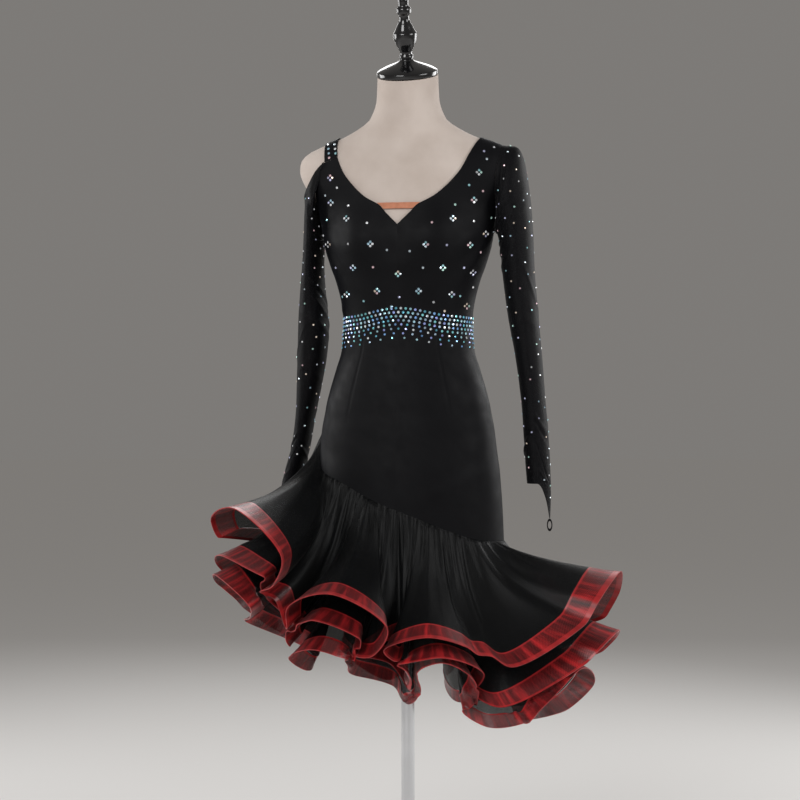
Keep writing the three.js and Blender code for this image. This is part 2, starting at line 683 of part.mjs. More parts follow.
// The hem as a function of a place, which counts folds from hollow to hollow. Places are spread out
// between the stops and along the hem's length.
function hemLine(folds) {
  const curve = new THREE.CatmullRomCurve3(hemStops(folds), true, "centripetal");
  const stops = foldCount * controls;
  const at = (place) => curve.getPoint((((place * controls - 1) / stops) % 1 + 1) % 1);
  const fine = steps(foldCount * hemSteps, 0, foldCount);
  const lengths = fine.slice(1).map((place, i) => at(place).distanceTo(at(fine[i])));
  const spread = [0];
  lengths.forEach((length, i) => {
    const first = Math.floor(i / hemSteps) * hemSteps;
    const whole = lengths.slice(first, first + hemSteps).reduce((sum, part) => sum + part);
    spread.push(spread[i] + mix(1 / hemSteps, length / whole, evenness));
  });
  return (place) => {
    const i = Math.min(lengths.length - 1, spread.findLastIndex((start) => start <= place + 1e-9));
    return at(mix(fine[i], fine[i + 1], (place - spread[i]) / (spread[i + 1] - spread[i])));
  };
}

// A tier before it rests on anything: a line bends outwards from the seam to each point of the hem.
function freeTier(folds, sewn) {
  const hem = hemLine(folds);
  return (column, share) => {
    const place = column / foldColumns;
    const top = seamPoint(place, sewn);
    top.z -= seamGap;
    const end = hem(place);
    const bend = top.clone().lerp(end, flare.out).setZ(mix(top.z, end.z, flare.down));
    const point = new THREE.QuadraticBezierCurve3(top, bend, end).getPoint(share);
    const down = Math.min(1, (share * top.distanceTo(end)) / gathers.reach);
    const wave = (1 - Math.cos(2 * Math.PI * gathers.perFold * place)) / 2;
    const out = gathers.depth * Math.sin(Math.PI * down) * wave;
    return point.addScaledVector(away(firstHollow + place * foldPitch), out);
  };
}

// Unit normals of a grid of points that closes round, pointing towards the pole's side of the cloth.
function inwardNormals(grid) {
  const count = grid.length;
  return grid.map((column, i) =>
    column.map((_, j) => {
      const right = grid[(i + 1) % count][j].clone().sub(grid[(i + count - 1) % count][j]);
      const down = column[Math.min(j + 1, column.length - 1)].clone().sub(column[Math.max(j - 1, 0)]);
      return right.cross(down).normalize();
    }),
  );
}

const coverRows = 24; // rows at which an outer tier is felt for by the one inside it
const between = 3; // places felt for from each column to the next
const reachAround = 12; // places to each side that a tier is kept clear of
const rounds = 5; // in which a tier is moved, evenly at first and by itself in the last
// From a tier's outer face to the next one's: just below the seam, and from a number of rows on.
const tierGap = { seam: 2.6, hem: 12, rows: 4 };
const spill = 1.5; // slope at which a tier may come out again past the hem of the one over it

// How a point of a column is moved so that it keeps clear of the tier that covers it.
function pushFrom(cover, point, column) {
  let best = { distance: Infinity };
  for (let i = -reachAround; i <= reachAround; i++) {
    const c = (between * (column + tierColumns) + i) % cover.points.length;
    cover.points[c].forEach((p, r) => {
      const distance = p.distanceTo(point);
      if (distance < best.distance) best = { distance, c, r };
    });
  }
  const normal = cover.normals[best.c][best.r];
  const offset = point.clone().sub(cover.points[best.c][best.r]);
  const depth = offset.dot(normal);
  const past = Math.sqrt(Math.max(0, best.distance ** 2 - depth ** 2));
  if (best.r === coverRows && past > spill * Math.abs(depth)) {
    return offset.multiplyScalar(Math.max(0, tierGap.hem / Math.max(1, best.distance) - 1));
  }
  const gap = mix(tierGap.seam, tierGap.hem, Math.min(1, best.r / tierGap.rows));
  return normal.clone().multiplyScalar(Math.max(0, gap - depth));
}

// A tier's points, moved wherever they would come too near the tier that covers it. The sewn edge stays.
function restingTier(free, cover) {
  if (!cover) return free;
  let points = free;
  for (let round = 1; round <= rounds; round++) {
    const pushes = points.map((column, i) => column.map((point) => pushFrom(cover, point, i)));
    const beside = (i, j) => pushes[(i + tierColumns) % tierColumns][j];
    const around = (i, j) => beside(i - 1, j).clone().lerp(beside(i + 1, j), 0.5);
    const push = (i, j) => beside(i, j).clone().lerp(around(i, j), 0.5);
    points = points.map((column, i) => [
      column[0],
      ...column.slice(1).map((p, j) => p.clone().add(round < rounds ? push(i, j + 1) : pushes[i][j + 1])),
    ]);
  }
  return points;
}

function coverOf(points) {
  const shares = steps(between - 1, 0, 1 - 1 / between);
  const filled = (grid) =>
    grid.flatMap((column, i) => {
      const next = grid[(i + 1) % grid.length];
      return shares.map((share) => column.map((point, j) => point.clone().lerp(next[j], share)));
    });
  const normals = filled(inwardNormals(points));
  normals.forEach((column) => column.forEach((normal) => normal.normalize()));
  return { points: filled(points), normals };
}

// A panel of cloth from one column of a tier to another, between two rows of its grid.
function tierPanel(outer, inner, from, to, firstRow, lastRow) {
  const nudge = 0.02; // share of a column by which the side seams stand open
  const columns = steps(to - from, from, to);
  const strip = (grid) =>
    columns.map((column, i) => {
      const own = grid[column % tierColumns].slice(firstRow, lastRow + 1);
      if (i > 0 && i < columns.length - 1) return own;
      const beside = grid[columns[i === 0 ? 1 : i - 1] % tierColumns].slice(firstRow, lastRow + 1);
      return own.map((point, j) => point.clone().lerp(beside[j], nudge));
    });
  const wall = clothWall(strip(outer), strip(inner), false);
  return wall.volume() < 0 ? clothWall(strip(inner), strip(outer), false) : wall;
}

// Sewn is how far inside the bodice's face a tier is sewn on.
const tiers = [
  { name: "top", folds: topFolds, sewn: 0 },
  { name: "middle", folds: middleFolds, sewn: 2.6 },
  { name: "bottom", folds: bottomFolds, sewn: 4.8 },
];

const rows = 4; // of organza from the seam to the braid, the last from where the tier over it ends
const topCover = 0.75; // share of the top tier's organza at which its last row begins
const leastBand = 0.04; // the last row's least share of a tier's length

// The front panel of a tier holds the folds from the left side's hollow to the right side's.
const frontColumns = 4 * foldColumns;

let cover;
tiers.forEach(({ name, folds, sewn }) => {
  const free = freeTier(folds, sewn);
  const freeCover = ring.map((column) => steps(coverRows).map((share) => free(column, share)));
  const asCover = restingTier(freeCover, cover);
  const lengths = asCover.map((column) => column[0].distanceTo(column.at(-1)));
  const freeRows = ring.map((column, i) => {
    const organzaFoot = 1 - (braidWidth + 2 * seamGap) / lengths[i];
    const coverFoot = cover ? cover.lengths[i] / lengths[i] : topCover * organzaFoot;
    const covered = Math.min(coverFoot, organzaFoot - leastBand);
    const shares = [...steps(rows - 1, 0, covered), organzaFoot, 1 - braidWidth / lengths[i], 1];
    return shares.map((share) => free(column, share));
  });
  const outer = restingTier(freeRows, cover);
  const normals = inwardNormals(outer);
  normals.forEach((column) => column[0].setZ(0).normalize()); // the sewn edge is cut square to the seam
  const behind = (point, i, j) => point.clone().addScaledVector(normals[i][j], organza);
  const inner = outer.map((column, i) => column.map((point, j) => behind(point, i, j)));
  const panel = (from, to, firstRow, lastRow) => tierPanel(outer, inner, from, to, firstRow, lastRow);
  add(dress, `flounce_${name}_front`, panel(0, frontColumns, 0, rows), blackOrganza);
  add(dress, `flounce_${name}_back`, panel(frontColumns, tierColumns, 0, rows), blackOrganza);
  add(dress, `braid_${name}_front`, panel(0, frontColumns, rows + 1, rows + 2), redBraid);
  add(dress, `braid_${name}_back`, panel(frontColumns, tierColumns, rows + 1, rows + 2), redBraid);
  cover = { ...coverOf(asCover), lengths };
});

// The dress form and its stand

const formColumns = 26; // round the dress form
const formLevels = [
  formFoot, 760, 830, 880, 920,
  ...levelRows.slice(0, -1),
  1371, 1388, 1406, 1440, neckTop,
];
const slantFrom = 1406; // above this the sections lean towards the neck plate's slant

const formRings = formLevels.map((z) => {
  const slant = Math.tan(neckTilt * degrees) * Math.max(0, (z - slantFrom) / (neckTop - slantFrom));
  return steps(formColumns - 1, 0, 360 - 360 / formColumns).map((turn) => {
    const point = formPoint(turn, z);
    point.z += slant * (point.y + neckCentre().y * -1);
    return point;
  });
});

function neckCentre() {
  const front = along(figure, "z", "front", neckTop);
  const back = along(figure, "z", "back", neckTop);
  return new THREE.Vector3(0, (back - front) / 2, neckTop);
}

add(stand, "form_torso", ringSolid(formRings), ivoryLinen);

// The turned neck cap and its finial, as [radius, height] along their own axis.
const capProfile = [
  [0, 0], [52, 0], [54.5, 3], [54.5, 8], [50, 12], [38, 18], [15, 26.5], [11.5, 30], [13, 35], [10.5, 41],
  [14, 50], [18.5, 60], [21, 70], [21, 76], [18, 81], [13.5, 91], [9, 101],
  [9, 107], [13, 114], [13, 120], [9, 126], [9.5, 135], [7, 141], [0, 143],
];
const capGeometry = new THREE.LatheGeometry(capProfile.map(([r, h]) => new THREE.Vector2(r, h)), 16);
capGeometry.rotateX(Math.PI / 2);
capGeometry.translate(0, 0, 0.4);
capGeometry.rotateX(neckTilt * degrees);
capGeometry.translate(...neckCentre().toArray());
add(stand, "neck_cap", manifoldOf(capGeometry), blackLacquer);

const poleLength = formFoot - baseHeight - 2 * seamGap;
const poleGeometry = new THREE.CylinderGeometry(poleRadius, poleRadius, poleLength, 20);
poleGeometry.rotateX(Math.PI / 2);
poleGeometry.translate(0, 0, (formFoot + baseHeight) / 2);
add(stand, "pole", manifoldOf(poleGeometry), polishedSteel);

const baseProfile = [
  [0, 0], [baseRadius, 0], [baseRadius, 5], [baseRadius - 6, 8],
  [28, baseHeight - 1], [24, baseHeight], [0, baseHeight],
];
const baseGeometry = new THREE.LatheGeometry(baseProfile.map(([r, h]) => new THREE.Vector2(r, h)), 24);
baseGeometry.rotateX(Math.PI / 2);
add(stand, "base_plate", manifoldOf(baseGeometry), polishedSteel);

const model = new THREE.Group();
model.add(dress, stand);

export default model;
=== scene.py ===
# %% [markdown]
# # A ballroom dance dress on a dress form
# The dress is a black stretch sheath with a V neck, one set-in and one off-shoulder mesh sleeve, and a
# slanting skirt of three organza flounces edged with red horsehair braid. It is pinned to nothing: it
# rests on a limbless dress form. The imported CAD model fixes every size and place. This lesson makes the
# cloth, the stones and the stand again with fine meshes and full materials, in the same frame.
# Tables and surfaces are in millimetres, and a helper turns them into metres for Blender.

# %% Load the frame
import math
from collections import namedtuple

import bmesh
import bpy
import numpy as np
from mathutils import Matrix, Vector
from mathutils.bvhtree import BVHTree


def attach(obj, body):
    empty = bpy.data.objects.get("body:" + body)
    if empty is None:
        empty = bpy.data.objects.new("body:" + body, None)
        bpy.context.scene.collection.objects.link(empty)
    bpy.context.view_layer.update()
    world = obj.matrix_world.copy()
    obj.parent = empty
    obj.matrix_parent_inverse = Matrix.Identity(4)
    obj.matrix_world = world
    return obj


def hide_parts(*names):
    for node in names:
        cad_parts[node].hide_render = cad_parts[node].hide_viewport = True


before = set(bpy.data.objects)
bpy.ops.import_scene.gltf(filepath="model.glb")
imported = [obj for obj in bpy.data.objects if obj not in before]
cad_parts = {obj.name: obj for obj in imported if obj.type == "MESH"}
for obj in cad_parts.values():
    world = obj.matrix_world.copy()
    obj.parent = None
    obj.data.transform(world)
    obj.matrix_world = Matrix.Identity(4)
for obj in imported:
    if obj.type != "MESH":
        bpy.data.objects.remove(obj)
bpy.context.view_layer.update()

ROOT = "root"
MM = 0.001

# %% [markdown]
# ## The camera
# A catalogue photograph of a garment is taken from far away with a long lens, so that hem and shoulders
# keep their proportions. The form is turned a little, which shows as an azimuth of 11 degrees here.

# %% Camera
CAMERA_TURN = 11.0  # degrees round the pole from the front
CAMERA_HEIGHT = 0.9
CAMERA_DISTANCE = 4.0
POLE_OFF_CENTRE = 8 / 800  # the pole stands right of the middle, as a share of the frame's width

turned = math.radians(CAMERA_TURN)
bpy.ops.object.camera_add(
    location=(CAMERA_DISTANCE * math.sin(turned), -CAMERA_DISTANCE * math.cos(turned), CAMERA_HEIGHT),
    rotation=(math.radians(90), 0, turned),
)
camera = bpy.context.object
camera.name = "studio_camera"
camera.data.lens = 100
camera.data.sensor_width = 36
camera.data.shift_x = -POLE_OFF_CENTRE
bpy.context.scene.camera = camera
print("camera at", tuple(round(v, 3) for v in camera.location))

# %% [markdown]
# ## Tables and curves
# A pattern cutter works from a few measured sections and joins them with smooth curves. The tables below
# do the same: a row for each section and a named column for each measure.


# %% Tables and smooth columns
def table(names, rows):
    """Named columns of numbers from rows."""
    return {name: np.array(column, float) for name, column in zip(names.split(), zip(*rows))}


def along(rows, key, name, at):
    """Value of a column at a place along the rows, on a smooth curve that doesn't overshoot."""
    x, y = rows[key], rows[name]
    at = np.clip(at, x[0], x[-1])
    rise = np.diff(y) / np.diff(x)
    slope = np.concatenate([rise[:1], np.zeros(len(x) - 2), rise[-1:]])
    same = rise[:-1] * rise[1:] > 0
    slope[1:-1][same] = 2 * (rise[:-1] * rise[1:])[same] / (rise[:-1] + rise[1:])[same]
    i = np.clip(np.searchsorted(x, at, side="right") - 1, 0, len(x) - 2)
    h = x[i + 1] - x[i]
    t = (at - x[i]) / h
    blend = t * t * (3 - 2 * t)
    bent = h * slope[i] * t * (1 - t) ** 2 + h * slope[i + 1] * t * t * (t - 1)
    return y[i] * (1 - blend) + y[i + 1] * blend + bent


def around_pole(rows, name, turn):
    """The same for rows that go all the way round the pole."""
    first = rows["turn"][0]
    turns = np.concatenate([[rows["turn"][-1] - 360], rows["turn"], rows["turn"][:2] + 360])
    values = np.concatenate([rows[name][-1:], rows[name], rows[name][:2]])
    return along({"turn": turns, name: values}, "turn", name, first + (turn - first) % 360)


def mix(a, b, t):
    return a + (b - a) * t


def unit(vectors):
    return vectors / np.maximum(np.linalg.norm(vectors, axis=-1, keepdims=True), 1e-12)


def stack(*parts):
    return np.stack(np.broadcast_arrays(*parts), axis=-1).astype(float)


# %% The dress form's sections
FIGURE = table("z side front back ease", [
    (640, 146, 92, 98, 28),
    (700, 149, 97, 104, 22.5),
    (738, 150, 100, 107, 19),
    (774, 150, 102, 110, 16),
    (810, 149.5, 103, 112, 11.5),
    (850, 148, 103, 113, 8),
    (882, 145, 102, 111, 5),
    (914, 138, 99, 106, 4.6),
    (954, 127, 94, 95, 3.8),
    (990, 117.5, 89, 84, 3),
    (1026, 114.5, 86, 80, 3),
    (1053, 115, 86, 80, 3),
    (1078, 118.5, 88, 82, 3),
    (1114, 128, 93, 86, 3),
    (1144, 137.5, 97, 90, 4.4),
    (1175, 147, 98, 93, 4.4),
    (1203, 152, 96, 95, 4.4),
    (1225, 156, 92, 96, 4.4),
    (1250, 164, 87, 96, 3),
    (1274, 180, 81, 94, 3),
    (1292, 192, 76, 90, 3),
    (1314, 199, 69, 84, 3),
    (1328, 198, 64, 79, 3),
    (1337, 193, 60, 75, 3),
    (1346, 183, 56, 71, 3),
    (1359, 155, 50, 64, 3),
    (1373, 119, 46, 58, 3),
    (1390, 88, 45, 54, 3),
    (1404, 70, 48, 52, 3),
    (1440, 56.5, 55, 50, 3),
    (1500, 54, 61, 46, 3),
])
SEAM = table("turn z", [
    (-115, 836), (-95, 846), (-80, 835), (-70, 797), (-60, 773), (-40, 757), (-13, 724), (12, 697),
    (37, 670), (60, 655), (95, 651), (130, 668), (160, 706), (190, 752), (225, 812),
])
CUP = {"x": 76, "z": 1188, "depth": 17, "across": 46, "up": 44}
JERSEY, ORGANZA, SEAM_GAP, BRAID_WIDTH = 1.0, 0.6, 0.3, 38
FORM_FOOT, NECK_TOP, NECK_TILT, SLANT_FROM = 690, 1482, 17, 1406


def form_point(turn, z):
    """A point of the dress form at a turn of its own sections and a height."""
    s, c = np.sin(np.radians(turn)), np.cos(np.radians(turn))
    x = along(FIGURE, "z", "side", z) * s
    depth = np.where(c > 0, along(FIGURE, "z", "front", z), along(FIGURE, "z", "back", z))
    across, up = (np.abs(x) - CUP["x"]) / CUP["across"], (z - CUP["z"]) / CUP["up"]
    mound = np.where(c > 0, CUP["depth"] * c * np.exp(-across * across - up * up), 0)
    return stack(x, -depth * c - mound, z)


def form_normal(turn, z):
    right = form_point(turn + 0.5, z) - form_point(turn - 0.5, z)
    up = form_point(turn, z + 1.0) - form_point(turn, z - 1.0)
    return unit(np.cross(right, up))


def dress_point(turn, z, depth=0.0):
    """A point of the dress, a depth below its outer face."""
    ease = along(FIGURE, "z", "ease", z)
    return form_point(turn, z) + form_normal(turn, z) * (ease - depth)[..., None]


def seam_height(turn):
    return around_pole(SEAM, "z", turn)


print("waist", round(2 * float(along(FIGURE, "z", "side", np.array(1026.0)))), "mm wide")

# %% [markdown]
# ## Materials
# Each cloth gets the finish that its thread gives it. Jersey is knitted, so it is matt with a soft
# sheen. Organza and horsehair braid are woven so openly that light comes through, so their material has
# an alpha that follows the weave. The pattern follows each cloth's own UV map, laid out in metres.


# %% Node helpers
def put(tree, kind, inputs=None, **settings):
    """A node with its settings, and its inputs set to values or linked to sockets."""
    made = tree.nodes.new(kind)
    for name, value in settings.items():
        setattr(made, name, value)
    for name, value in (inputs or {}).items():
        if isinstance(value, bpy.types.NodeSocket):
            tree.links.new(value, made.inputs[name])
        else:
            made.inputs[name].default_value = value
    return made


def maths(tree, operation, *values):
    return put(tree, "ShaderNodeMath", dict(enumerate(values)), operation=operation).outputs[0]


def group(name, inputs, outputs):
    """An empty node group with named sockets, and its tree's input and output nodes."""
    tree = bpy.data.node_groups.new(name, "ShaderNodeTree")
    for socket, kind in inputs.items():
        tree.interface.new_socket(socket, in_out="INPUT", socket_type=kind)
    for socket, kind in outputs.items():
        tree.interface.new_socket(socket, in_out="OUTPUT", socket_type=kind)
    return tree, tree.nodes.new("NodeGroupInput").outputs, tree.nodes.new("NodeGroupOutput").inputs


def use(tree, shared, **values):
    made = put(tree, "ShaderNodeGroup", node_tree=shared)
    for name, value in values.items():
        if isinstance(value, bpy.types.NodeSocket):
            tree.links.new(value, made.inputs[name])
        else:
            made.inputs[name].default_value = value
    return made.outputs


def material(name, **sockets):
    made = bpy.data.materials.new(name)
    made.use_nodes = True
    shader = made.node_tree.nodes["Principled BSDF"]
    for socket, value in sockets.items():
        shader.inputs[socket.replace("_", " ")].default_value = value
    return made, made.node_tree, shader


def ramp(tree, factor, *stops):
    """A colour ramp with a (place, colour) pair for each stop."""
    made = put(tree, "ShaderNodeValToRGB", {"Fac": factor})
    elements = made.color_ramp.elements
    while len(elements) < len(stops):
        elements.new(1)
    for element, (place, colour) in zip(elements, stops):
        element.position, element.color = place, (*colour, 1)
    return made.outputs["Color"]


def blend_colours(tree, factor, first, second):
    made = put(tree, "ShaderNodeMix", data_type="RGBA")
    colours = [socket for socket in made.inputs if socket.type == "RGBA"]
    tree.links.new(factor, made.inputs[0])
    tree.links.new(first, colours[0])
    tree.links.new(second, colours[1])
    return next(socket for socket in made.outputs if socket.type == "RGBA")


def bump(tree, shader, height, strength, distance):
    made = put(tree, "ShaderNodeBump", {"Height": height, "Strength": strength, "Distance": distance})
    tree.links.new(made.outputs["Normal"], shader.inputs["Normal"])


# %% Shared effects: threads that cross, and an uneven patchiness
threads, ends, out = group(
    "crossing threads",
    {"Vector": "NodeSocketVector", "Scale": "NodeSocketFloat", "Turn": "NodeSocketFloat"},
    {"Height": "NodeSocketFloat", "Gap": "NodeSocketFloat"},
)
spun = put(threads, "ShaderNodeVectorRotate", {"Vector": ends["Vector"], "Angle": ends["Turn"]},
           rotation_type="Z_AXIS").outputs[0]
warp = put(threads, "ShaderNodeTexWave", {"Vector": spun, "Scale": ends["Scale"]}, bands_direction="X")
weft = put(threads, "ShaderNodeTexWave", {"Vector": spun, "Scale": ends["Scale"]}, bands_direction="Y")
threads.links.new(maths(threads, "MAXIMUM", warp.outputs["Fac"], weft.outputs["Fac"]), out["Height"])
open_warp = maths(threads, "SUBTRACT", 1.0, warp.outputs["Fac"])
open_weft = maths(threads, "SUBTRACT", 1.0, weft.outputs["Fac"])
threads.links.new(maths(threads, "MULTIPLY", open_warp, open_weft), out["Gap"])

patches, ends, out = group(
    "uneven patches",
    {"Vector": "NodeSocketVector", "Scale": "NodeSocketFloat", "Low": "NodeSocketFloat", "High": "NodeSocketFloat"},
    {"Value": "NodeSocketFloat"},
)
cloud = put(patches, "ShaderNodeTexNoise", {"Vector": ends["Vector"], "Scale": ends["Scale"], "Detail": 4.0})
spread = put(patches, "ShaderNodeMapRange",
             {"Value": cloud.outputs["Fac"], "From Min": 0.3, "From Max": 0.7, "To Min": ends["Low"],
              "To Max": ends["High"]})
patches.links.new(spread.outputs["Result"], out["Value"])

WAVE_METRES = 0.314  # a wave texture of scale 1 repeats at this length


def cloth_map(tree):
    return put(tree, "ShaderNodeUVMap", uv_map="cloth").outputs["UV"]


def object_map(tree):
    return put(tree, "ShaderNodeTexCoord").outputs["Object"]


def uneven(tree, place, scale, low=0.0, high=1.0):
    return use(tree, patches, Vector=place, Scale=scale, Low=low, High=high)["Value"]


def feed(shader, socket, value):
    shader.id_data.links.new(value, shader.inputs[socket])


# %% Black stretch jersey
def make_jersey():
    """Fine knit: ribs of stitches 1.1 mm apart, with a soft bluish bloom where light grazes it."""
    made, tree, shader = material(
        "black knit", Sheen_Weight=0.03, Sheen_Roughness=0.45, Sheen_Tint=(0.55, 0.6, 0.75, 1), Specular_IOR_Level=0.12,
    )
    place = cloth_map(tree)
    tone = uneven(tree, place, 14.0)
    feed(shader, "Base Color", ramp(tree, tone, (0, (0.0022, 0.0022, 0.0030)), (1, (0.0042, 0.0042, 0.0052))))
    feed(shader, "Roughness", uneven(tree, place, 40.0, 0.50, 0.64))
    knit = use(tree, threads, Vector=place, Scale=WAVE_METRES / 0.0011, Turn=0.0)["Height"]
    bump(tree, shader, knit, 0.25, 0.0003)
    return made


def make_mesh():
    """Stretch net for the sleeves: the jersey's black, and open enough to show light at its edges."""
    made, tree, shader = material(
        "black net", Base_Color=(0.003, 0.003, 0.004, 1), Roughness=0.6, Sheen_Weight=0.03, Specular_IOR_Level=0.12,
    )
    net = use(tree, threads, Vector=cloth_map(tree), Scale=WAVE_METRES / 0.0016, Turn=math.radians(45))
    cover = put(tree, "ShaderNodeMapRange", {"Value": net["Gap"], "To Min": 0.97, "To Max": 0.72}).outputs["Result"]
    feed(shader, "Alpha", cover)
    bump(tree, shader, net["Height"], 0.2, 0.0003)
    return made


def make_organza():
    """Crisp sheer weave with a silky line of light along its creases."""
    made, tree, shader = material(
        "black sheer weave", Roughness=0.46, Specular_IOR_Level=0.18, Sheen_Weight=0.03, Sheen_Roughness=0.35,
    )
    place = cloth_map(tree)
    tone = uneven(tree, place, 9.0)
    feed(shader, "Base Color", ramp(tree, tone, (0, (0.0022, 0.0024, 0.0027)), (1, (0.0056, 0.0060, 0.0066))))
    weave = use(tree, threads, Vector=place, Scale=WAVE_METRES / 0.0012, Turn=0.0)
    cover = put(tree, "ShaderNodeMapRange", {"Value": weave["Gap"], "To Min": 0.80, "To Max": 0.42}).outputs["Result"]
    feed(shader, "Alpha", cover)
    bump(tree, shader, weave["Height"], 0.15, 0.0003)
    return made


# %% Red horsehair braid
BRAID_EDGE = 0.0024  # width of the dense edge on each side, in metres


def make_braid():
    """Clear red filament, woven on the bias between two dense edges; its gleam is painted into the colour as streaks of
    lighter red.
    """
    made, tree, shader = material("crimson filament braid", Roughness=0.32, Specular_IOR_Level=0.5, Sheen_Weight=0.08)
    place = cloth_map(tree)
    across = put(tree, "ShaderNodeSeparateXYZ", {"Vector": place}).outputs["Y"]
    from_middle = maths(tree, "ABSOLUTE", maths(tree, "SUBTRACT", across, BRAID_WIDTH * MM / 2))
    edge = put(tree, "ShaderNodeMapRange", {
        "Value": from_middle, "From Min": BRAID_WIDTH * MM / 2 - BRAID_EDGE - 0.002, "From Max": BRAID_WIDTH * MM / 2 - BRAID_EDGE,
    }, interpolation_type="SMOOTHSTEP").outputs["Result"]
    long = put(tree, "ShaderNodeMapping", {"Vector": place, "Scale": (85, 9, 1)}).outputs["Vector"]
    # Painted highlight: lighter and darker red streaks along the braid stand in for the gleam of its filament.
    painted_gleam = uneven(tree, long, 1.0)
    body = ramp(tree, painted_gleam, (0, (0.05, 0.0012, 0.0022)), (0.5, (0.17, 0.0040, 0.0060)), (1, (0.60, 0.0200, 0.0240)))
    # The dense edges get a lighter red: partly their denser filament, partly a painted highlight.
    rim = ramp(tree, painted_gleam, (0, (0.24, 0.0060, 0.0080)), (1, (0.52, 0.0220, 0.0240)))
    feed(shader, "Base Color", blend_colours(tree, edge, body, rim))
    net = use(tree, threads, Vector=place, Scale=WAVE_METRES / 0.0024, Turn=math.radians(45))
    cover = put(tree, "ShaderNodeMapRange", {"Value": net["Gap"], "To Min": 0.90, "To Max": 0.42}).outputs["Result"]
    feed(shader, "Alpha", maths(tree, "MAXIMUM", cover, edge))
    bump(tree, shader, maths(tree, "MAXIMUM", net["Height"], edge), 0.35, 0.0005)
    return made


# %% Elastic, linen, lacquer, steel and crystal
def make_elastic():
    made, tree, shader = material("woven elastic", Roughness=0.7, Specular_IOR_Level=0.3, Sheen_Weight=0.2)
    place = object_map(tree)
    tone = uneven(tree, place, 90.0)
    feed(shader, "Base Color", ramp(tree, tone, (0, (0.50, 0.19, 0.10)), (1, (0.66, 0.27, 0.16))))
    cords = put(tree, "ShaderNodeTexWave", {"Vector": place, "Scale": WAVE_METRES / 0.0016}, bands_direction="Z")
    bump(tree, shader, cords.outputs["Fac"], 0.6, 0.0004)
    return made


def make_linen():
    """The form's covering: a pale plain weave, a little uneven in tone."""
    made, tree, shader = material("linen covering", Specular_IOR_Level=0.25, Sheen_Weight=0.15)
    place = object_map(tree)
    tone = uneven(tree, place, 18.0)
    feed(shader, "Base Color", ramp(tree, tone, (0, (0.56, 0.475, 0.42)), (1, (0.65, 0.565, 0.51))))
    feed(shader, "Roughness", uneven(tree, place, 60.0, 0.78, 0.92))
    weave = use(tree, threads, Vector=place, Scale=WAVE_METRES / 0.0009, Turn=math.radians(4))["Height"]
    bump(tree, shader, weave, 0.3, 0.0003)
    return made


def make_lacquer():
    """Turned wood under thick black gloss, with the faint ripple of a brushed coat."""
    made, tree, shader = material("black gloss", Base_Color=(0.004, 0.004, 0.005, 1), Coat_Weight=0.6, Coat_Roughness=0.06)
    place = object_map(tree)
    feed(shader, "Roughness", uneven(tree, place, 50.0, 0.10, 0.22))
    bump(tree, shader, uneven(tree, place, 35.0), 0.05, 0.0006)
    return made


def make_steel():
    """Chromed steel with fine drawn lines and a few duller patches."""
    made, tree, shader = material("chromed steel", Base_Color=(0.72, 0.73, 0.75, 1), Metallic=1.0)
    place = object_map(tree)
    feed(shader, "Roughness", uneven(tree, place, 24.0, 0.08, 0.24))
    drawn = put(tree, "ShaderNodeMapping", {"Vector": place, "Scale": (900, 900, 6)}).outputs["Vector"]
    bump(tree, shader, uneven(tree, drawn, 1.0), 0.06, 0.0002)
    return made


def make_crystal():
    """Foil-backed cut glass in its own tint, kept in the mesh's colour attribute. The tint also glows faintly from the
    stone, a painted glint.
    """
    # Emission Color and Emission Strength make each stone glow faintly in its tint: a painted glint.
    made, tree, shader = material("cut crystal with painted glint", Roughness=0.07, Metallic=0.75, Specular_IOR_Level=0.9, Coat_Weight=0.5, Emission_Strength=0.35)
    tint = put(tree, "ShaderNodeVertexColor", layer_name="tint").outputs["Color"]
    feed(shader, "Base Color", tint)
    # Painted glint: the same tint feeds the emission.
    feed(shader, "Emission Color", tint)
    return made


LOOKS = {
    "black_jersey": make_jersey(),
    "black_mesh": make_mesh(),
    "black_organza": make_organza(),
    "red_braid": make_braid(),
    "nude_elastic": make_elastic(),
    "ivory_linen": make_linen(),
    "black_lacquer": make_lacquer(),
    "polished_steel": make_steel(),
    "clear_crystal": make_crystal(),
}
print("materials:", ", ".join(look.name for look in LOOKS.values()))

# %% [markdown]
# ## The hard pieces
# A dress form is a padded torso on a turned stand. The torso starts as a cylinder whose sides are cut
# into rings, and each ring is moved on to its section. The cap, the pole and the base are turned pieces:
# a profile drawn by extruding one point, then spun once round its axis, as on a lathe.


# %% Finish and turning helpers
def nothing_selected():
    if bpy.context.object and bpy.context.object.mode != "OBJECT":
        bpy.ops.object.mode_set(mode="OBJECT")
    bpy.ops.object.select_all(action="DESELECT")


def only(piece):
    nothing_selected()
    piece.select_set(True)
    bpy.context.view_layer.objects.active = piece


def finish(piece, name, slot, nodes, smooth=40.0):
    """Names a piece, puts its place into its mesh, gives it its material and hides the CAD parts that it takes the
    place of.
    """
    only(piece)
    bpy.ops.object.transform_apply(location=True, rotation=True, scale=True)
    bpy.ops.object.shade_smooth_by_angle(angle=math.radians(smooth))
    piece.name = piece.data.name = name
    piece.data.materials.clear()
    piece.data.materials.append(LOOKS[slot])
    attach(piece, ROOT)
    if nodes:
        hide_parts(*nodes)
    faces = sum(len(p.vertices) - 2 for p in piece.data.polygons)
    print(f"{name}: {faces} triangles")
    return piece


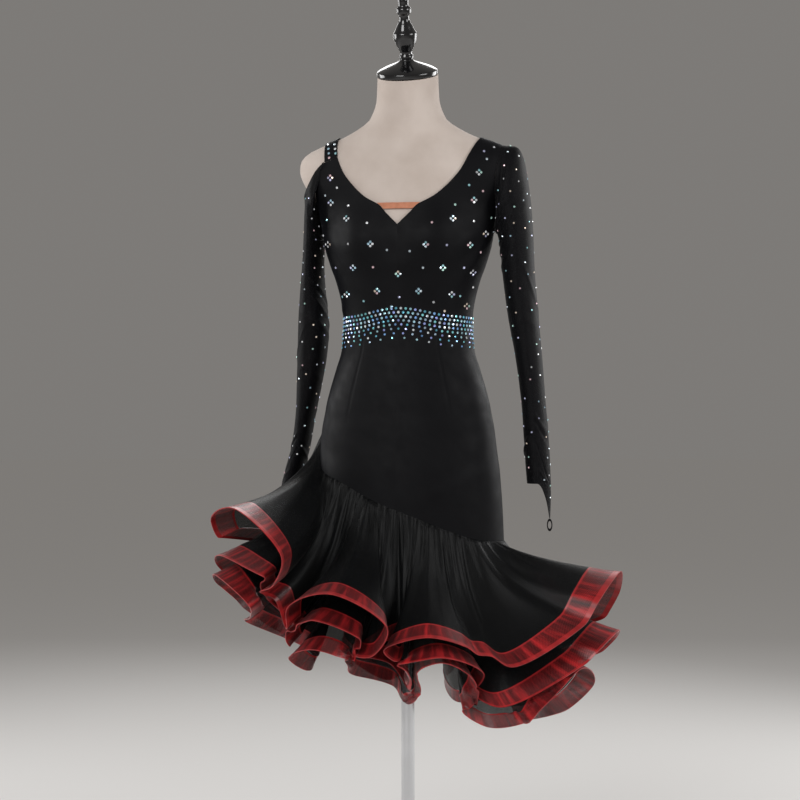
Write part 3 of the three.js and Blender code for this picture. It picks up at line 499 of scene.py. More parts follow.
def turn_on_lathe(profile, steps):
    """Spins a profile of (radius, height) millimetres that starts and ends on the axis."""
    bpy.ops.mesh.primitive_plane_add(size=0.01)
    bpy.ops.object.mode_set(mode="EDIT")
    bpy.ops.mesh.select_all(action="SELECT")
    bpy.ops.mesh.merge(type="CENTER")
    bpy.ops.transform.translate(value=(profile[0][0] * MM, 0, profile[0][1] * MM))
    for (r0, h0), (r1, h1) in zip(profile, profile[1:]):
        bpy.ops.mesh.extrude_region_move(TRANSFORM_OT_translate={"value": ((r1 - r0) * MM, 0, (h1 - h0) * MM)})
    bpy.ops.mesh.select_all(action="SELECT")
    bpy.ops.mesh.spin(steps=steps, angle=2 * math.pi, center=(0, 0, 0), axis=(0, 0, 1))
    bpy.ops.mesh.select_all(action="SELECT")
    bpy.ops.mesh.remove_doubles(threshold=1e-5)
    bpy.ops.mesh.normals_make_consistent(inside=False)
    bpy.ops.object.mode_set(mode="OBJECT")
    return bpy.context.object


def smooth_profile(points, per_step=3):
    """More points on a soft curve through a profile's own, so that a turned bead is round."""
    places = np.arange(len(points), dtype=float)
    rows = {"at": places, "r": np.array(points, float)[:, 0], "h": np.array(points, float)[:, 1]}
    fine = np.linspace(0, places[-1], per_step * (len(points) - 1) + 1)
    return list(zip(along(rows, "at", "r", fine), along(rows, "at", "h", fine)))


# %% The torso
FORM_SIDES, FORM_RINGS = 128, 150


def neck_centre():
    front = along(FIGURE, "z", "front", np.array(float(NECK_TOP)))
    back = along(FIGURE, "z", "back", np.array(float(NECK_TOP)))
    return np.array([0, (back - front) / 2, NECK_TOP])


def slanted(points):
    """The neck's sections lean towards its slanting plate."""
    share = np.clip((points[..., 2] - SLANT_FROM) / (NECK_TOP - SLANT_FROM), 0, None)
    lean = math.tan(math.radians(NECK_TILT)) * share * (points[..., 1] - neck_centre()[1])
    return points + stack(0, 0, lean)


def make_torso():
    bpy.ops.mesh.primitive_cylinder_add(vertices=FORM_SIDES, radius=0.15, depth=1)
    bpy.ops.object.mode_set(mode="EDIT")
    shape = bmesh.from_edit_mesh(bpy.context.object.data)
    for edge in shape.edges:
        low, high = sorted(v.co.z for v in edge.verts)
        edge.select_set(high - low > 0.5)
    bpy.ops.mesh.subdivide(number_cuts=FORM_RINGS)
    shape = bmesh.from_edit_mesh(bpy.context.object.data)
    flat = np.array([v.co for v in shape.verts])
    turn = np.degrees(np.arctan2(flat[:, 0], -flat[:, 1]))
    placed = slanted(form_point(turn, mix(FORM_FOOT, NECK_TOP, flat[:, 2] + 0.5))) * MM
    for vertex, point in zip(shape.verts, placed):
        vertex.co = point
    bpy.ops.mesh.select_all(action="DESELECT")
    for face in shape.faces:
        if len(face.verts) > 4:
            face.select_set(True)
    bpy.ops.mesh.inset(thickness=0.003)
    bpy.ops.object.mode_set(mode="OBJECT")
    return bpy.context.object


nothing_selected()
torso = finish(make_torso(), "torso", "ivory_linen", ["form_torso"])

# %% The cap with its finial, the pole and the base
CAP = [
    (0, 0), (52, 0), (54.5, 3), (54.5, 8), (50, 12), (38, 18), (15, 26.5), (11.5, 30), (13, 35), (10.5, 41),
    (14, 50), (18.5, 60), (21, 70), (21, 76), (18, 81), (13.5, 91), (9, 101),
    (9, 107), (13, 114), (13, 120), (9, 126), (9.5, 135), (7, 141), (0, 143),
]
POLE_RADIUS, BASE_RADIUS, BASE_HEIGHT = 12, 160, 14
BASE = [(0, 0), (160, 0), (160, 5), (154, 8), (28, 13), (24, 14), (0, 14)]

nothing_selected()
cap = turn_on_lathe(smooth_profile(CAP), 72)
cap.matrix_world = (Matrix.Translation(Vector(neck_centre()) * MM) @ Matrix.Rotation(math.radians(NECK_TILT), 4, "X")
                    @ Matrix.Translation((0, 0, 0.4 * MM)))
finish(cap, "turned_cap", "black_lacquer", ["neck_cap"], smooth=35)

nothing_selected()
pole_end = FORM_FOOT - SEAM_GAP
pole_profile = [(0, BASE_HEIGHT + SEAM_GAP), (POLE_RADIUS - 1, BASE_HEIGHT + SEAM_GAP), (POLE_RADIUS, BASE_HEIGHT + 1.3),
                (POLE_RADIUS, pole_end - 1), (POLE_RADIUS - 1, pole_end), (0, pole_end)]
finish(turn_on_lathe(pole_profile, 64), "steel_pole", "polished_steel", ["pole"], smooth=35)

nothing_selected()
finish(turn_on_lathe(BASE, 128), "round_base", "polished_steel", ["base_plate"], smooth=25)

# %% [markdown]
# ## Cloth as a thin wall
# A cut piece of cloth is a surface, so it is made from a grid of points on its true form. The grid is
# given a thickness towards its inner side and shut at its edges, which keeps it a closed body. Its own
# UV map measures the cloth in metres, so a weave keeps its scale wherever the cloth goes.


# %% Cloth helpers
def inward_normals(grid, closed):
    """Unit normals towards the pole's side, for columns that go to the right and rows that go down."""
    if closed:
        right = np.roll(grid, -1, axis=0) - np.roll(grid, 1, axis=0)
    else:
        right = np.gradient(grid, axis=0)
    return unit(np.cross(right, np.gradient(grid, axis=1)))


def lengths_along(grid, axis, closed=False):
    """Distance along the cloth from its first line of points, in metres, for its UV map."""
    if closed:
        grid = np.concatenate([grid, grid[:1]])
    step = np.linalg.norm(np.diff(grid, axis=axis), axis=-1)
    mean = step.mean(axis=1 - axis)
    total = np.concatenate([[0], np.cumsum(mean)]) * MM
    shape = (-1, 1) if axis == 0 else (1, -1)
    return total.reshape(shape)


def cloth_wall(name, outer, thickness, closed=False, inward=None):
    """A closed wall of cloth from a grid of points on its outer face, in millimetres."""
    columns, rows = outer.shape[:2]
    inward = inward_normals(outer, closed) if inward is None else inward
    inner = outer + inward * np.broadcast_to(thickness, outer.shape[:2])[..., None]
    points = np.concatenate([outer.reshape(-1, 3), inner.reshape(-1, 3)]) * MM
    uv_u, uv_v = np.broadcast_arrays(lengths_along(outer, 0, closed), lengths_along(outer, 1))
    ids = np.arange(columns * rows).reshape(columns, rows)
    spots = np.dstack([uv_u, uv_v])
    if closed:
        ids = np.concatenate([ids, ids[:1]])
    last = columns * rows

    def quads(a, b, spot_a, spot_b):
        face = np.stack([a[:-1], a[1:], b[1:], b[:-1]], axis=-1).reshape(-1, 4)
        spot = np.stack([spot_a[:-1], spot_a[1:], spot_b[1:], spot_b[:-1]], axis=-2).reshape(-1, 4, 2)
        return face, spot

    parts = []
    for j in range(rows - 1):
        parts.append(quads(ids[:, j + 1], ids[:, j], spots[:, j + 1], spots[:, j]))
        parts.append(quads(ids[:, j] + last, ids[:, j + 1] + last, spots[:, j], spots[:, j + 1]))
    parts.append(quads(ids[:, 0], ids[:, 0] + last, spots[:, 0], spots[:, 0]))
    parts.append(quads(ids[:, -1] + last, ids[:, -1], spots[:, -1], spots[:, -1]))
    if not closed:
        parts.append(quads(ids[0] + last, ids[0], spots[0], spots[0]))
        parts.append(quads(ids[-1], ids[-1] + last, spots[-1], spots[-1]))
    faces = np.concatenate([part[0] for part in parts])
    uvs = np.concatenate([part[1] for part in parts])
    mesh = bpy.data.meshes.new(name)
    mesh.from_pydata(points.tolist(), [], faces.tolist())
    mesh.uv_layers.new(name="cloth").data.foreach_set("uv", uvs.astype(np.float32).ravel())
    mesh.validate()
    piece = bpy.data.objects.new(name, mesh)
    bpy.context.collection.objects.link(piece)
    return piece


def prism(name, outline, front, back):
    """A cutter through the part from front to back, from an outline of (x, z) millimetres."""
    count = len(outline)
    points = [(x * MM, front * MM, z * MM) for x, z in outline] + [(x * MM, back * MM, z * MM) for x, z in outline]
    sides = [(i, (i + 1) % count, (i + 1) % count + count, i + count) for i in range(count)]
    mesh = bpy.data.meshes.new(name)
    mesh.from_pydata(points, [], [tuple(range(count))[::-1], tuple(range(count, 2 * count)), *sides])
    piece = bpy.data.objects.new(name, mesh)
    bpy.context.collection.objects.link(piece)
    shape = bmesh.new()
    shape.from_mesh(mesh)
    bmesh.ops.recalc_face_normals(shape, faces=shape.faces)
    shape.to_mesh(mesh)
    shape.free()
    return piece


def cut(piece, cutter, operation):
    """Cuts a piece with another and removes the cutter."""
    only(piece)
    step = piece.modifiers.new("cut", "BOOLEAN")
    step.operation, step.object, step.solver = operation, cutter, "EXACT"
    bpy.ops.object.modifier_apply(modifier=step.name)
    bpy.data.objects.remove(cutter)
    return piece


def copy_of(piece, name):
    made = piece.copy()
    made.data = piece.data.copy()
    made.name = name
    bpy.context.collection.objects.link(made)
    return made


# %% [markdown]
# ## Bodice and sheath
# The sheath is one tube over the form, from the shoulder to the slanting seam of the skirt. Stretch
# jersey lies smooth over bust, waist and hip, and drags into soft folds only where it is pulled: under
# the arms, beside the waist and above the skirt. Two long darts take in the front below the waist.

# %% The sheath's creases and darts
# Each crease runs from one turn and height to another. Depth is how far it stands out, or in if negative.
CREASES = table("turn_a z_a turn_b z_b depth width", [
    (-62, 1196, -30, 1150, 1.6, 9),
    (-66, 1182, -38, 1118, -1.4, 8),
    (-70, 1160, -44, 1092, 1.3, 9),
    (60, 1200, 34, 1148, 1.5, 9),
    (66, 1184, 40, 1120, -1.3, 8),
    (72, 1164, 48, 1098, 1.2, 9),
    (-86, 1068, -56, 1046, 1.5, 7),
    (-84, 1044, -52, 1030, -1.3, 6),
    (-88, 1020, -58, 1010, 1.4, 7),
    (86, 1062, 54, 1044, 1.4, 7),
    (84, 1040, 50, 1026, -1.2, 6),
    (88, 1014, 60, 1006, 1.3, 7),
    (-74, 900, -34, 872, 1.6, 13),
    (-70, 858, -20, 800, 1.8, 15),
    (72, 905, 30, 860, 1.4, 13),
    (78, 842, 30, 780, 1.7, 15),
    (66, 780, 10, 722, 1.4, 12),
    (150, 1080, 122, 1052, 1.6, 8),
    (210, 1084, 238, 1050, 1.6, 8),
    (158, 1040, 126, 1026, -1.4, 7),
    (202, 1038, 236, 1024, -1.4, 7),
    (150, 1180, 112, 1130, 1.4, 10),
    (212, 1182, 250, 1128, 1.4, 10),
    (160, 900, 116, 850, 1.6, 14),
    (200, 910, 246, 866, 1.6, 14),
    (172, 860, 130, 790, 1.5, 14),
])
# The darts are sewn grooves. Those behind are out of the photograph's sight and like those in front.
DARTS = table("turn_a z_a turn_b z_b depth width", [
    (-33, 1060, -38, 864, -0.8, 1.6),
    (33, 1060, 38, 864, -0.8, 1.6),
    (150, 1080, 146, 880, -0.8, 1.6),
    (210, 1080, 214, 880, -0.8, 1.6),
])


def creased(turn, z, rows):
    """How far the cloth stands out at a turn and a height, from a table of straight creases."""
    out = np.zeros(np.broadcast(turn, z).shape)
    for ta, za, tb, zb, depth, width in zip(*rows.values()):
        girth = math.radians(1) * 110  # millimetres round the body for each degree
        run = np.array([(tb - ta) * girth, zb - za])
        off_x, off_z = ((turn - ta + 180) % 360 - 180) * girth, z - za
        share = (off_x * run[0] + off_z * run[1]) / (run @ run)
        aside = np.hypot(off_x - np.clip(share, 0, 1) * run[0], off_z - np.clip(share, 0, 1) * run[1])
        fade = np.sin(np.pi * np.clip(share, 0.02, 0.98)) ** 0.5
        out += depth * np.exp(-((aside / width) ** 2)) * fade
    return out


# %% The tube
FOLD_COUNT, FIRST_HOLLOW = 7, -100.0
FOLD_PITCH = 360 / FOLD_COUNT
SHOULDER_TOP = 1392
TUBE_COLUMNS, TUBE_STEP = 300, 7.0


def sheath_point(turn, z, depth=0.0):
    """The dress's outer face with its creases and darts, where the cloth is clear of the form."""
    stands = creased(turn, z, CREASES) + creased(turn, z, DARTS)
    return dress_point(turn, z, depth - np.maximum(stands, -1.6))


def make_tube(thickness, depth=0.0):
    turns = np.arange(TUBE_COLUMNS) * 360 / TUBE_COLUMNS
    lowest = seam_height(turns) - 0.15
    rows = int((SHOULDER_TOP - 640) / TUBE_STEP)
    share = np.linspace(0, 1, rows) ** 0.9
    heights = mix(SHOULDER_TOP, lowest[:, None], share[None, :])
    grid = sheath_point(turns[:, None] + 0 * heights, heights, depth)
    return cloth_wall("tube", grid, thickness, closed=True)


# The neckline in front is the same on both sides. Behind it is a plain scoop, hidden in the photograph.
NECKLINE = [
    (0, 1209), (10, 1219), (22, 1231), (34, 1244), (62, 1260), (91, 1287), (108, 1310), (119, 1334),
    (128, 1353), (134, 1366), (141, 1400),
]
BACK_NECKLINE = [
    (0, 1296), (40, 1300), (80, 1313), (105, 1326), (119, 1334), (128, 1353), (134, 1366), (141, 1400),
]
ARMHOLE = [(154, 1199), (157, 1212), (160.5, 1232), (163, 1262), (165, 1292), (168, 1320), (172, 1345), (182, 1400)]
OPEN_ARMHOLE = [(154, 1199), (157, 1212), (160.5, 1232), (163, 1255), (161, 1280), (153, 1305), (143, 1325)]
STRAP_OUTER_FOOT, STRAP_INNER_FOOT = (-143, 1325), (-119, 1334)
STRAP_OUTER_TOP, STRAP_INNER_TOP = (-153, 1400), (-129, 1400)


def rounded(line, per_step=6):
    """The line with more points, on a smooth curve through its own."""
    points = np.array(line, float)
    rows = {"at": np.arange(len(line), dtype=float), "x": points[:, 0], "z": points[:, 1]}
    fine = np.linspace(0, len(line) - 1, per_step * (len(line) - 1) + 1)
    return [(float(x), float(z)) for x, z in zip(along(rows, "at", "x", fine), along(rows, "at", "z", fine))]


def panel_outline(neck):
    """The outline of a bodice panel seen from the front."""
    neck = rounded(neck)
    left_neck = [(-x, z) for x, z in neck if neck[0][1] < z < STRAP_INNER_FOOT[1] and x > 0.5]
    left_armhole = [(-x, z) for x, z in rounded(OPEN_ARMHOLE)[::-1]]
    return [
        (-500, 500), (500, 500), (500, ARMHOLE[0][1]), *rounded(ARMHOLE), *neck[::-1], *left_neck,
        STRAP_INNER_FOOT, *left_armhole, (-500, ARMHOLE[0][1]),
    ]


nothing_selected()
tube = make_tube(JERSEY)
front = cut(copy_of(tube, "front"), prism("cutter", panel_outline(NECKLINE), -600, -SEAM_GAP / 2), "INTERSECT")
back = cut(copy_of(tube, "back"), prism("cutter", panel_outline(BACK_NECKLINE), SEAM_GAP / 2, 600), "INTERSECT")
raised = [(x, z + 2 * SEAM_GAP) for x, z in (STRAP_OUTER_FOOT, STRAP_INNER_FOOT)]
strap = cut(tube, prism("cutter", [*raised, STRAP_INNER_TOP, STRAP_OUTER_TOP], -600, 600), "INTERSECT")
front = finish(front, "front_panel", "black_jersey", ["bodice_front"])
back = finish(back, "back_panel", "black_jersey", ["bodice_back"])
strap = finish(strap, "strap", "black_jersey", ["shoulder_strap"])

# %% The elastic across the V
ELASTIC_FOOT, ELASTIC_TOP, ELASTIC_FREE = 1237, 1248, 0.8
neck_rows = table("x z", NECKLINE[:-1])
side = [(float(along(neck_rows, "z", "x", np.array(z))) - ELASTIC_FREE, z)
        for z in np.linspace(ELASTIC_FOOT, ELASTIC_TOP, 5)]
elastic_outline = side + [(-x, z) for x, z in side[::-1]]
elastic = cut(make_tube(1.0, 0.2), prism("cutter", elastic_outline, -600, 0), "INTERSECT")
elastic = finish(elastic, "neckline_elastic", "nude_elastic", ["neck_elastic"])

# %% [markdown]
# ## Sleeves
# A long sleeve is a tapering tube. Each row of the tables is a section: its two ends as seen from the
# front, its half depth, and how far behind the pole it hangs. The right sleeve is set into its armhole.
# The left one starts at a free edge below the bare shoulder. Both end in a point over the hand.

# %% Sleeve tables and curves
SET_IN = table("out_x out_z in_x in_z depth y", [
    (199, 1350, 160, 1200, 49, 0),
    (209, 1333, 162, 1197, 50, 0),
    (216, 1300, 164, 1192, 50, 1),
    (222, 1255, 166, 1184, 49, 1),
    (226, 1205, 168, 1168, 47, 2),
    (229, 1130, 172, 1125, 44, 3),
    (236, 1048, 182, 1048, 40, 3),
    (242, 985, 194, 985, 37, 1),
    (249, 902, 206, 902, 34, -3),
    (256, 825, 212, 825, 31, -7),
    (259, 770, 216, 770, 29, -9),
    (260, 735, 220, 735, 27, -10),
    (258, 676, 232, 676, 20, -10),
])
OFF_SHOULDER = table("out_x out_z in_x in_z depth y", [
    (-187, 1248, -158, 1196, 50, 0),
    (-189, 1215, -157, 1182, 49, 1),
    (-192, 1160, -158, 1145, 47, 2),
    (-198, 1100, -155, 1100, 44, 4),
    (-203, 1042, -149, 1042, 41, 7),
    (-206, 985, -153, 985, 37, 12),
    (-209, 930, -164, 930, 34, 18),
    (-213, 873, -178, 873, 32, 26),
    (-223, 815, -190, 815, 30, 34),
    (-237, 770, -203, 770, 28, 40),
    (-246, 735, -212, 735, 25, 44),
    (-252, 676, -230, 676, 18, 46),
])
# The free edge, from the sleeve's outermost point to the foot of the strap.
FREE_EDGE = table("turn x front back z", [
    (0, -190, 0, 0, 1262), (22, -186, 26, 32, 1268), (45, -174, 42, 52, 1288), (67.5, -158, 50, 61, 1312),
    (90, -144, 50.5, 60, 1326),
])
SLEEVE_COLUMNS, SLEEVE_ROWS = 96, 190
UNDERARM = 1199
CUFF_WRIST, CUFF_POINT, CUFF_SHARPNESS = 752, 690, 2.2


def smooth_path(stops, at, closed=False):
    """Points on a centripetal curve through stops, which lie along the first axis."""
    count = len(stops)
    at = np.asarray(at, float)
    i = np.floor(at).astype(int) if closed else np.clip(np.floor(at).astype(int), 0, count - 2)
    t = (at - i)[..., None]
    if closed:
        p = [stops[(i + k) % count] for k in (-1, 0, 1, 2)]
    else:
        padded = np.concatenate([[2 * stops[0] - stops[1]], stops, [2 * stops[-1] - stops[-2]]])
        p = [padded[i + k] for k in (0, 1, 2, 3)]
    gap = [np.maximum(np.linalg.norm(b - a, axis=-1, keepdims=True) ** 0.5, 1e-4) for a, b in zip(p, p[1:])]
    into = (p[1] - p[0]) / gap[0] - (p[2] - p[0]) / (gap[0] + gap[1]) + (p[2] - p[1]) / gap[1]
    from_ = (p[2] - p[1]) / gap[1] - (p[3] - p[1]) / (gap[1] + gap[2]) + (p[3] - p[2]) / gap[2]
    into, from_ = into * gap[1], from_ * gap[1]
    return (p[1] + into * t + (-3 * p[1] + 3 * p[2] - 2 * into - from_) * t**2
            + (2 * p[1] - 2 * p[2] + into + from_) * t**3)


def on_dress(side, distance, z, in_front):
    """The point of the dress's outer face that is a distance to one side of the pole."""
    low, high = np.zeros_like(z), np.ones_like(z)
    for _ in range(20):
        middle = (low + high) / 2
        turn = side * np.where(in_front, mix(0, 90, middle), mix(180, 90, middle))
        nearer = np.abs(dress_point(turn, z)[..., 0]) < distance
        low, high = np.where(nearer, middle, low), np.where(nearer, high, middle)
    return dress_point(side * np.where(in_front, mix(0, 90, high), mix(180, 90, high)), z)


def armhole_x(line, z):
    return along(table("x z", line), "z", "x", z)


def shoulder_section(distance):
    """The section whose side point lies at a distance to one side, on top of the shoulder."""
    heights = np.linspace(1330, 1380, 400)
    across = dress_point(np.full_like(heights, 90.0), heights)[:, 0]
    return heights[np.argmax(across < distance)]


# %% Where each sleeve begins
def set_in_edge(turns):
    top = shoulder_section(float(armhole_x(ARMHOLE, np.array(1350.0))) + SEAM_GAP)
    z = mix(UNDERARM + 1.0, top, (1 + np.cos(np.radians(turns))) / 2)
    return on_dress(1, armhole_x(ARMHOLE, z) + SEAM_GAP, z, np.sin(np.radians(turns)) >= 0)


def off_shoulder_edge(turns):
    folded = np.abs((turns + 540) % 360 - 180)
    in_front = np.sin(np.radians(turns)) >= 0
    depth = np.where(in_front, -along(FREE_EDGE, "turn", "front", folded), along(FREE_EDGE, "turn", "back", folded))
    free = stack(along(FREE_EDGE, "turn", "x", folded), depth, along(FREE_EDGE, "turn", "z", folded))
    z = mix(FREE_EDGE["z"][-1] - 1, UNDERARM + 1.0, np.clip((folded - 90) / 90, 0, 1))
    sewn = on_dress(-1, armhole_x(OPEN_ARMHOLE, z) + SEAM_GAP, z, in_front)
    return np.where((folded < 90)[:, None], free, sewn)


# %% [markdown]
# A stretch sleeve drags into rings of soft creases at the elbow and the wrist, where the arm bends and
# the cloth is spare. The rings aren't complete: each fades out round the arm.

# %% Sleeve creases and surface
SLEEVE_CREASES = table("share turn slant depth width span", [
    (0.035, 60, 0.25, 1.6, 0.010, 70),
    (0.07, 80, 0.30, -1.4, 0.009, 60),
    (0.10, 110, 0.20, 1.4, 0.010, 60),
    (0.16, 180, -0.25, 1.5, 0.010, 80),
    (0.20, 200, -0.20, -1.2, 0.009, 70),
    (0.38, 150, 0.30, 1.5, 0.008, 75),
    (0.405, 165, 0.26, -1.5, 0.007, 80),
    (0.43, 140, 0.34, 1.7, 0.008, 75),
    (0.455, 200, -0.20, -1.4, 0.008, 70),
    (0.48, 130, 0.24, 1.5, 0.009, 70),
    (0.52, 20, -0.22, 1.2, 0.010, 60),
    (0.62, 100, 0.20, 1.1, 0.011, 60),
    (0.72, 250, -0.20, 1.2, 0.010, 60),
    (0.80, 60, 0.26, 1.4, 0.008, 70),
    (0.83, 90, 0.20, -1.4, 0.007, 75),
    (0.86, 120, 0.24, 1.5, 0.007, 75),
    (0.885, 60, -0.22, -1.2, 0.006, 70),
    (0.91, 200, 0.20, 1.3, 0.007, 80),
    (0.94, 80, 0.18, 1.0, 0.006, 70),
])


def sleeve_folds(turn, share):
    out = np.zeros(np.broadcast(turn, share).shape)
    for at, middle, slant, depth, width, span in zip(*SLEEVE_CREASES.values()):
        aside = (turn - middle + 180) % 360 - 180
        place = share - at - slant * aside / 360
        out += depth * np.exp(-((place / width) ** 2)) * np.exp(-((aside / span) ** 2))
    return out


def sleeve_surface(rows, first_edge, turns, shares):
    """A grid of points on a sleeve, for turns of its section and shares from the armhole to the cuff."""
    middle = stack((rows["out_x"] + rows["in_x"]) / 2, rows["y"], (rows["out_z"] + rows["in_z"]) / 2)
    reach = stack((rows["out_x"] - rows["in_x"]) / 2, 0, (rows["out_z"] - rows["in_z"]) / 2)
    cos, sin = np.cos(np.radians(turns)), np.sin(np.radians(turns))
    sections = middle[:, None] + reach[:, None] * cos[None, :, None]
    sections = sections - stack(0, rows["depth"][:, None] * sin[None, :], 0)
    stops = np.concatenate([first_edge(turns)[None], sections])
    end = mix(CUFF_WRIST, CUFF_POINT, np.maximum(0, cos) ** CUFF_SHARPNESS)
    columns = []
    for i in range(len(turns)):
        z = stops[:, i, 2]
        below = int(np.argmax(z < end[i]))
        whole = below - 1 + (z[below - 1] - end[i]) / (z[below - 1] - z[below])
        columns.append(smooth_path(stops[:, i], shares * whole))
    return np.array(columns)


def make_sleeve(name, rows, first_edge, side):
    # The section's turns go the other way round on the left, so that columns always go to the right.
    turns = -side * np.arange(SLEEVE_COLUMNS) * 360 / SLEEVE_COLUMNS
    shares = np.linspace(0, 1, SLEEVE_ROWS) ** 0.95
    grid = sleeve_surface(rows, first_edge, turns, shares)
    inward = inward_normals(grid, True)
    middle = grid.mean(axis=0, keepdims=True)
    inward *= np.sign(np.median(((middle - grid) * inward).sum(axis=-1)))
    near_ends = np.clip(shares / 0.03, 0, 1) * np.clip((1 - shares) / 0.02, 0, 1)
    folds = sleeve_folds(turns[:, None], shares[None, :]) * near_ends
    sewn = inward[:, :1] * np.array([1, 0, 1])  # at its seam the cloth is cut square to the armhole
    inward = np.concatenate([unit(sewn), inward[:, 1:]], axis=1)
    return cloth_wall(name, grid - inward * folds[..., None], JERSEY, closed=True, inward=inward)


def right_way_out(piece):
    shape = bmesh.new()
    shape.from_mesh(piece.data)
    bmesh.ops.recalc_face_normals(shape, faces=shape.faces)
    shape.to_mesh(piece.data)
    shape.free()
    return piece


nothing_selected()
tube = right_way_out(make_sleeve("right", SET_IN, set_in_edge, 1))
sleeve_right = finish(tube, "set_in_sleeve", "black_mesh", ["sleeve_right"], 60)
tube = right_way_out(make_sleeve("left", OFF_SHOULDER, off_shoulder_edge, -1))
sleeve_left = finish(tube, "off_shoulder_sleeve", "black_mesh", ["sleeve_left"], 60)

# %% The finger loops
LOOP_HALF, LOOP_WIDTH, LOOP_CORD = 10, 4, 1.0


def make_loop(rows, name, node):
    heights = rows["out_z"][::-1]
    x = np.interp(CUFF_POINT, heights, rows["out_x"][::-1])
    y = np.interp(CUFF_POINT, heights, rows["y"][::-1])
    bpy.ops.mesh.primitive_torus_add(
        major_segments=40, minor_segments=10, major_radius=LOOP_WIDTH * MM, minor_radius=LOOP_CORD * MM,
    )
    loop = bpy.context.object
    stretch = (LOOP_HALF - LOOP_CORD) / LOOP_WIDTH
    loop.matrix_world = (Matrix.Translation(Vector((x - np.sign(x) * 0.6, y, CUFF_POINT - LOOP_HALF - 1.5)) * MM)
                         @ Matrix.Rotation(math.radians(90), 4, "X") @ Matrix.Diagonal((1, stretch, 1, 1)))
    return finish(loop, name, "black_jersey", [node], 60)


nothing_selected()
loop_right = make_loop(SET_IN, "finger_loop_set_in", "finger_loop_right")
nothing_selected()
loop_left = make_loop(OFF_SHOULDER, "finger_loop_off_shoulder", "finger_loop_left")

# %% [markdown]
# ## The flounces
# Each of the three tiers is a full circle of organza, so its sewn edge is short and its hem is long. The
# spare length has to go somewhere: it rises and falls in seven deep folds, whose mouths curl like an
# omega because the stiff braid along the hem holds them open. A row for each fold gives its crest, the
# size of its mouth, and the hollow that follows it. The tiers rest on each other, so each inner one is
# moved inwards wherever it would come too near the one that covers it.

# %% Fold tables
Fold = namedtuple("Fold", "turn reach height half tall neck inset sway lean curl dip_turn dip_reach dip")
TIERS = {
    "top": [
        Fold(-40, 376, 716, 106, 100, 58, 45, -50, -44, 8, -41, 290, 556),
        Fold(-12, 325, 577, 93, 84, 67, 46, -44, -24, 14, 7, 188, 492),
        Fold(17, 284, 503, 70, 40, 80, 30, 36, 4, 2, 47, 300, 449),
        Fold(85, 388, 600, 92, 88, 94, 44, -16, -2, 0, 123, 236, 478),
        Fold(143, 345, 566, 76, 80, 46, 44, 0, 6, 0, 162, 222, 490),
        Fold(184, 335, 606, 78, 84, 44, 44, 0, 8, 0, 205, 222, 526),
        Fold(228, 335, 668, 76, 84, 46, 44, 0, 10, 0, 262, 236, 630),
    ],
    "middle": [
        Fold(-51, 363, 632, 112, 70, 60, 87, -46, -14, 6, -43, 236, 500),
        Fold(-20, 309, 530, 79, 56, 62, 58, -20, -10, 14, 2, 186, 446),
        Fold(22, 278, 468, 84, 66, 55, 66, 12, 0, 4, 48, 262, 376),
        Fold(86, 384, 496, 80, 50, 88, 46, -8, 2, 0, 123, 222, 392),
        Fold(143, 326, 478, 68, 70, 40, 42, 0, 6, 0, 162, 208, 406),
        Fold(184, 316, 518, 70, 72, 50, 36, 0, 8, 0, 205, 208, 446),
        Fold(228, 320, 582, 68, 74, 40, 42, 0, 10, 0, 260, 208, 514),
    ],
    "bottom": [
        Fold(-58, 360, 596, 104, 74, 52, 66, -84, -14, 0, -45, 206, 460),
        Fold(-23, 290, 478, 68, 44, 44, 50, 0, 0, 2, 2, 156, 404),
        Fold(23, 268, 458, 74, 86, 54, 52, -4, -4, 3, 46, 240, 340),
        Fold(71, 342, 442, 112, 90, 52, 56, -56, 0, 6, 121, 208, 318),
        Fold(143, 306, 398, 60, 60, 40, 34, 0, 6, 0, 162, 194, 334),
        Fold(184, 298, 438, 62, 62, 40, 34, 0, 8, 0, 205, 194, 374),
        Fold(228, 302, 504, 60, 64, 34, 40, 0, 10, 0, 260, 194, 444),
    ],
}
SEWN_DEPTH = {"top": 0, "middle": 2.6, "bottom": 4.8}  # inside the bodice's face
FLARE_OUT, FLARE_DOWN = 0.22, 0.7
GATHERS_PER_FOLD, GATHER_DEPTH, GATHER_REACH = 8, 2.2, 95
CONTROLS = 8  # stops of the hem's curve for each fold
HEM_STEPS = 24  # steps in each fold by which its length is measured
EVENNESS = 0.5  # 0 spreads the columns between the stops, 1 along the hem's length
FINE = 5  # fine columns to each of the CAD model's sixteen in a fold
COLUMNS = FOLD_COUNT * 16 * FINE
TIER_ROWS = 30


def away(turn):
    return stack(np.sin(np.radians(turn)), -np.cos(np.radians(turn)), 0)


def right_of(turn):
    return stack(np.cos(np.radians(turn)), np.sin(np.radians(turn)), 0)


def hem_stops(folds):
    """Left foot, loop and side, crest, right side, loop and foot, and hollow of each fold."""
    stops = []
    for f in folds:
        def at(across, inward, height):
            return away(f.turn) * (f.reach - inward) + right_of(f.turn) * across + np.array([0, 0, height])

        waist, foot = f.height - f.tall * 0.5, f.height - f.tall
        limbs = []
        for side in (-1, 1):
            bulge, end, lift = side * f.half, f.sway + side * f.neck, side * f.lean
            loop = mix(waist, foot, 0.7) + lift * 0.85 - f.curl
            limbs.append([
                at(end, f.inset, foot + lift),
                at((bulge + end) / 2, f.inset * 0.8, loop),
                at(bulge, f.inset * 0.45, waist + lift * 0.6),
            ])
        hollow = away(f.dip_turn) * f.dip_reach + np.array([0, 0, f.dip])
        stops += [*limbs[0], at(0, 0, f.height), *reversed(limbs[1]), hollow]
    return np.array(stops)


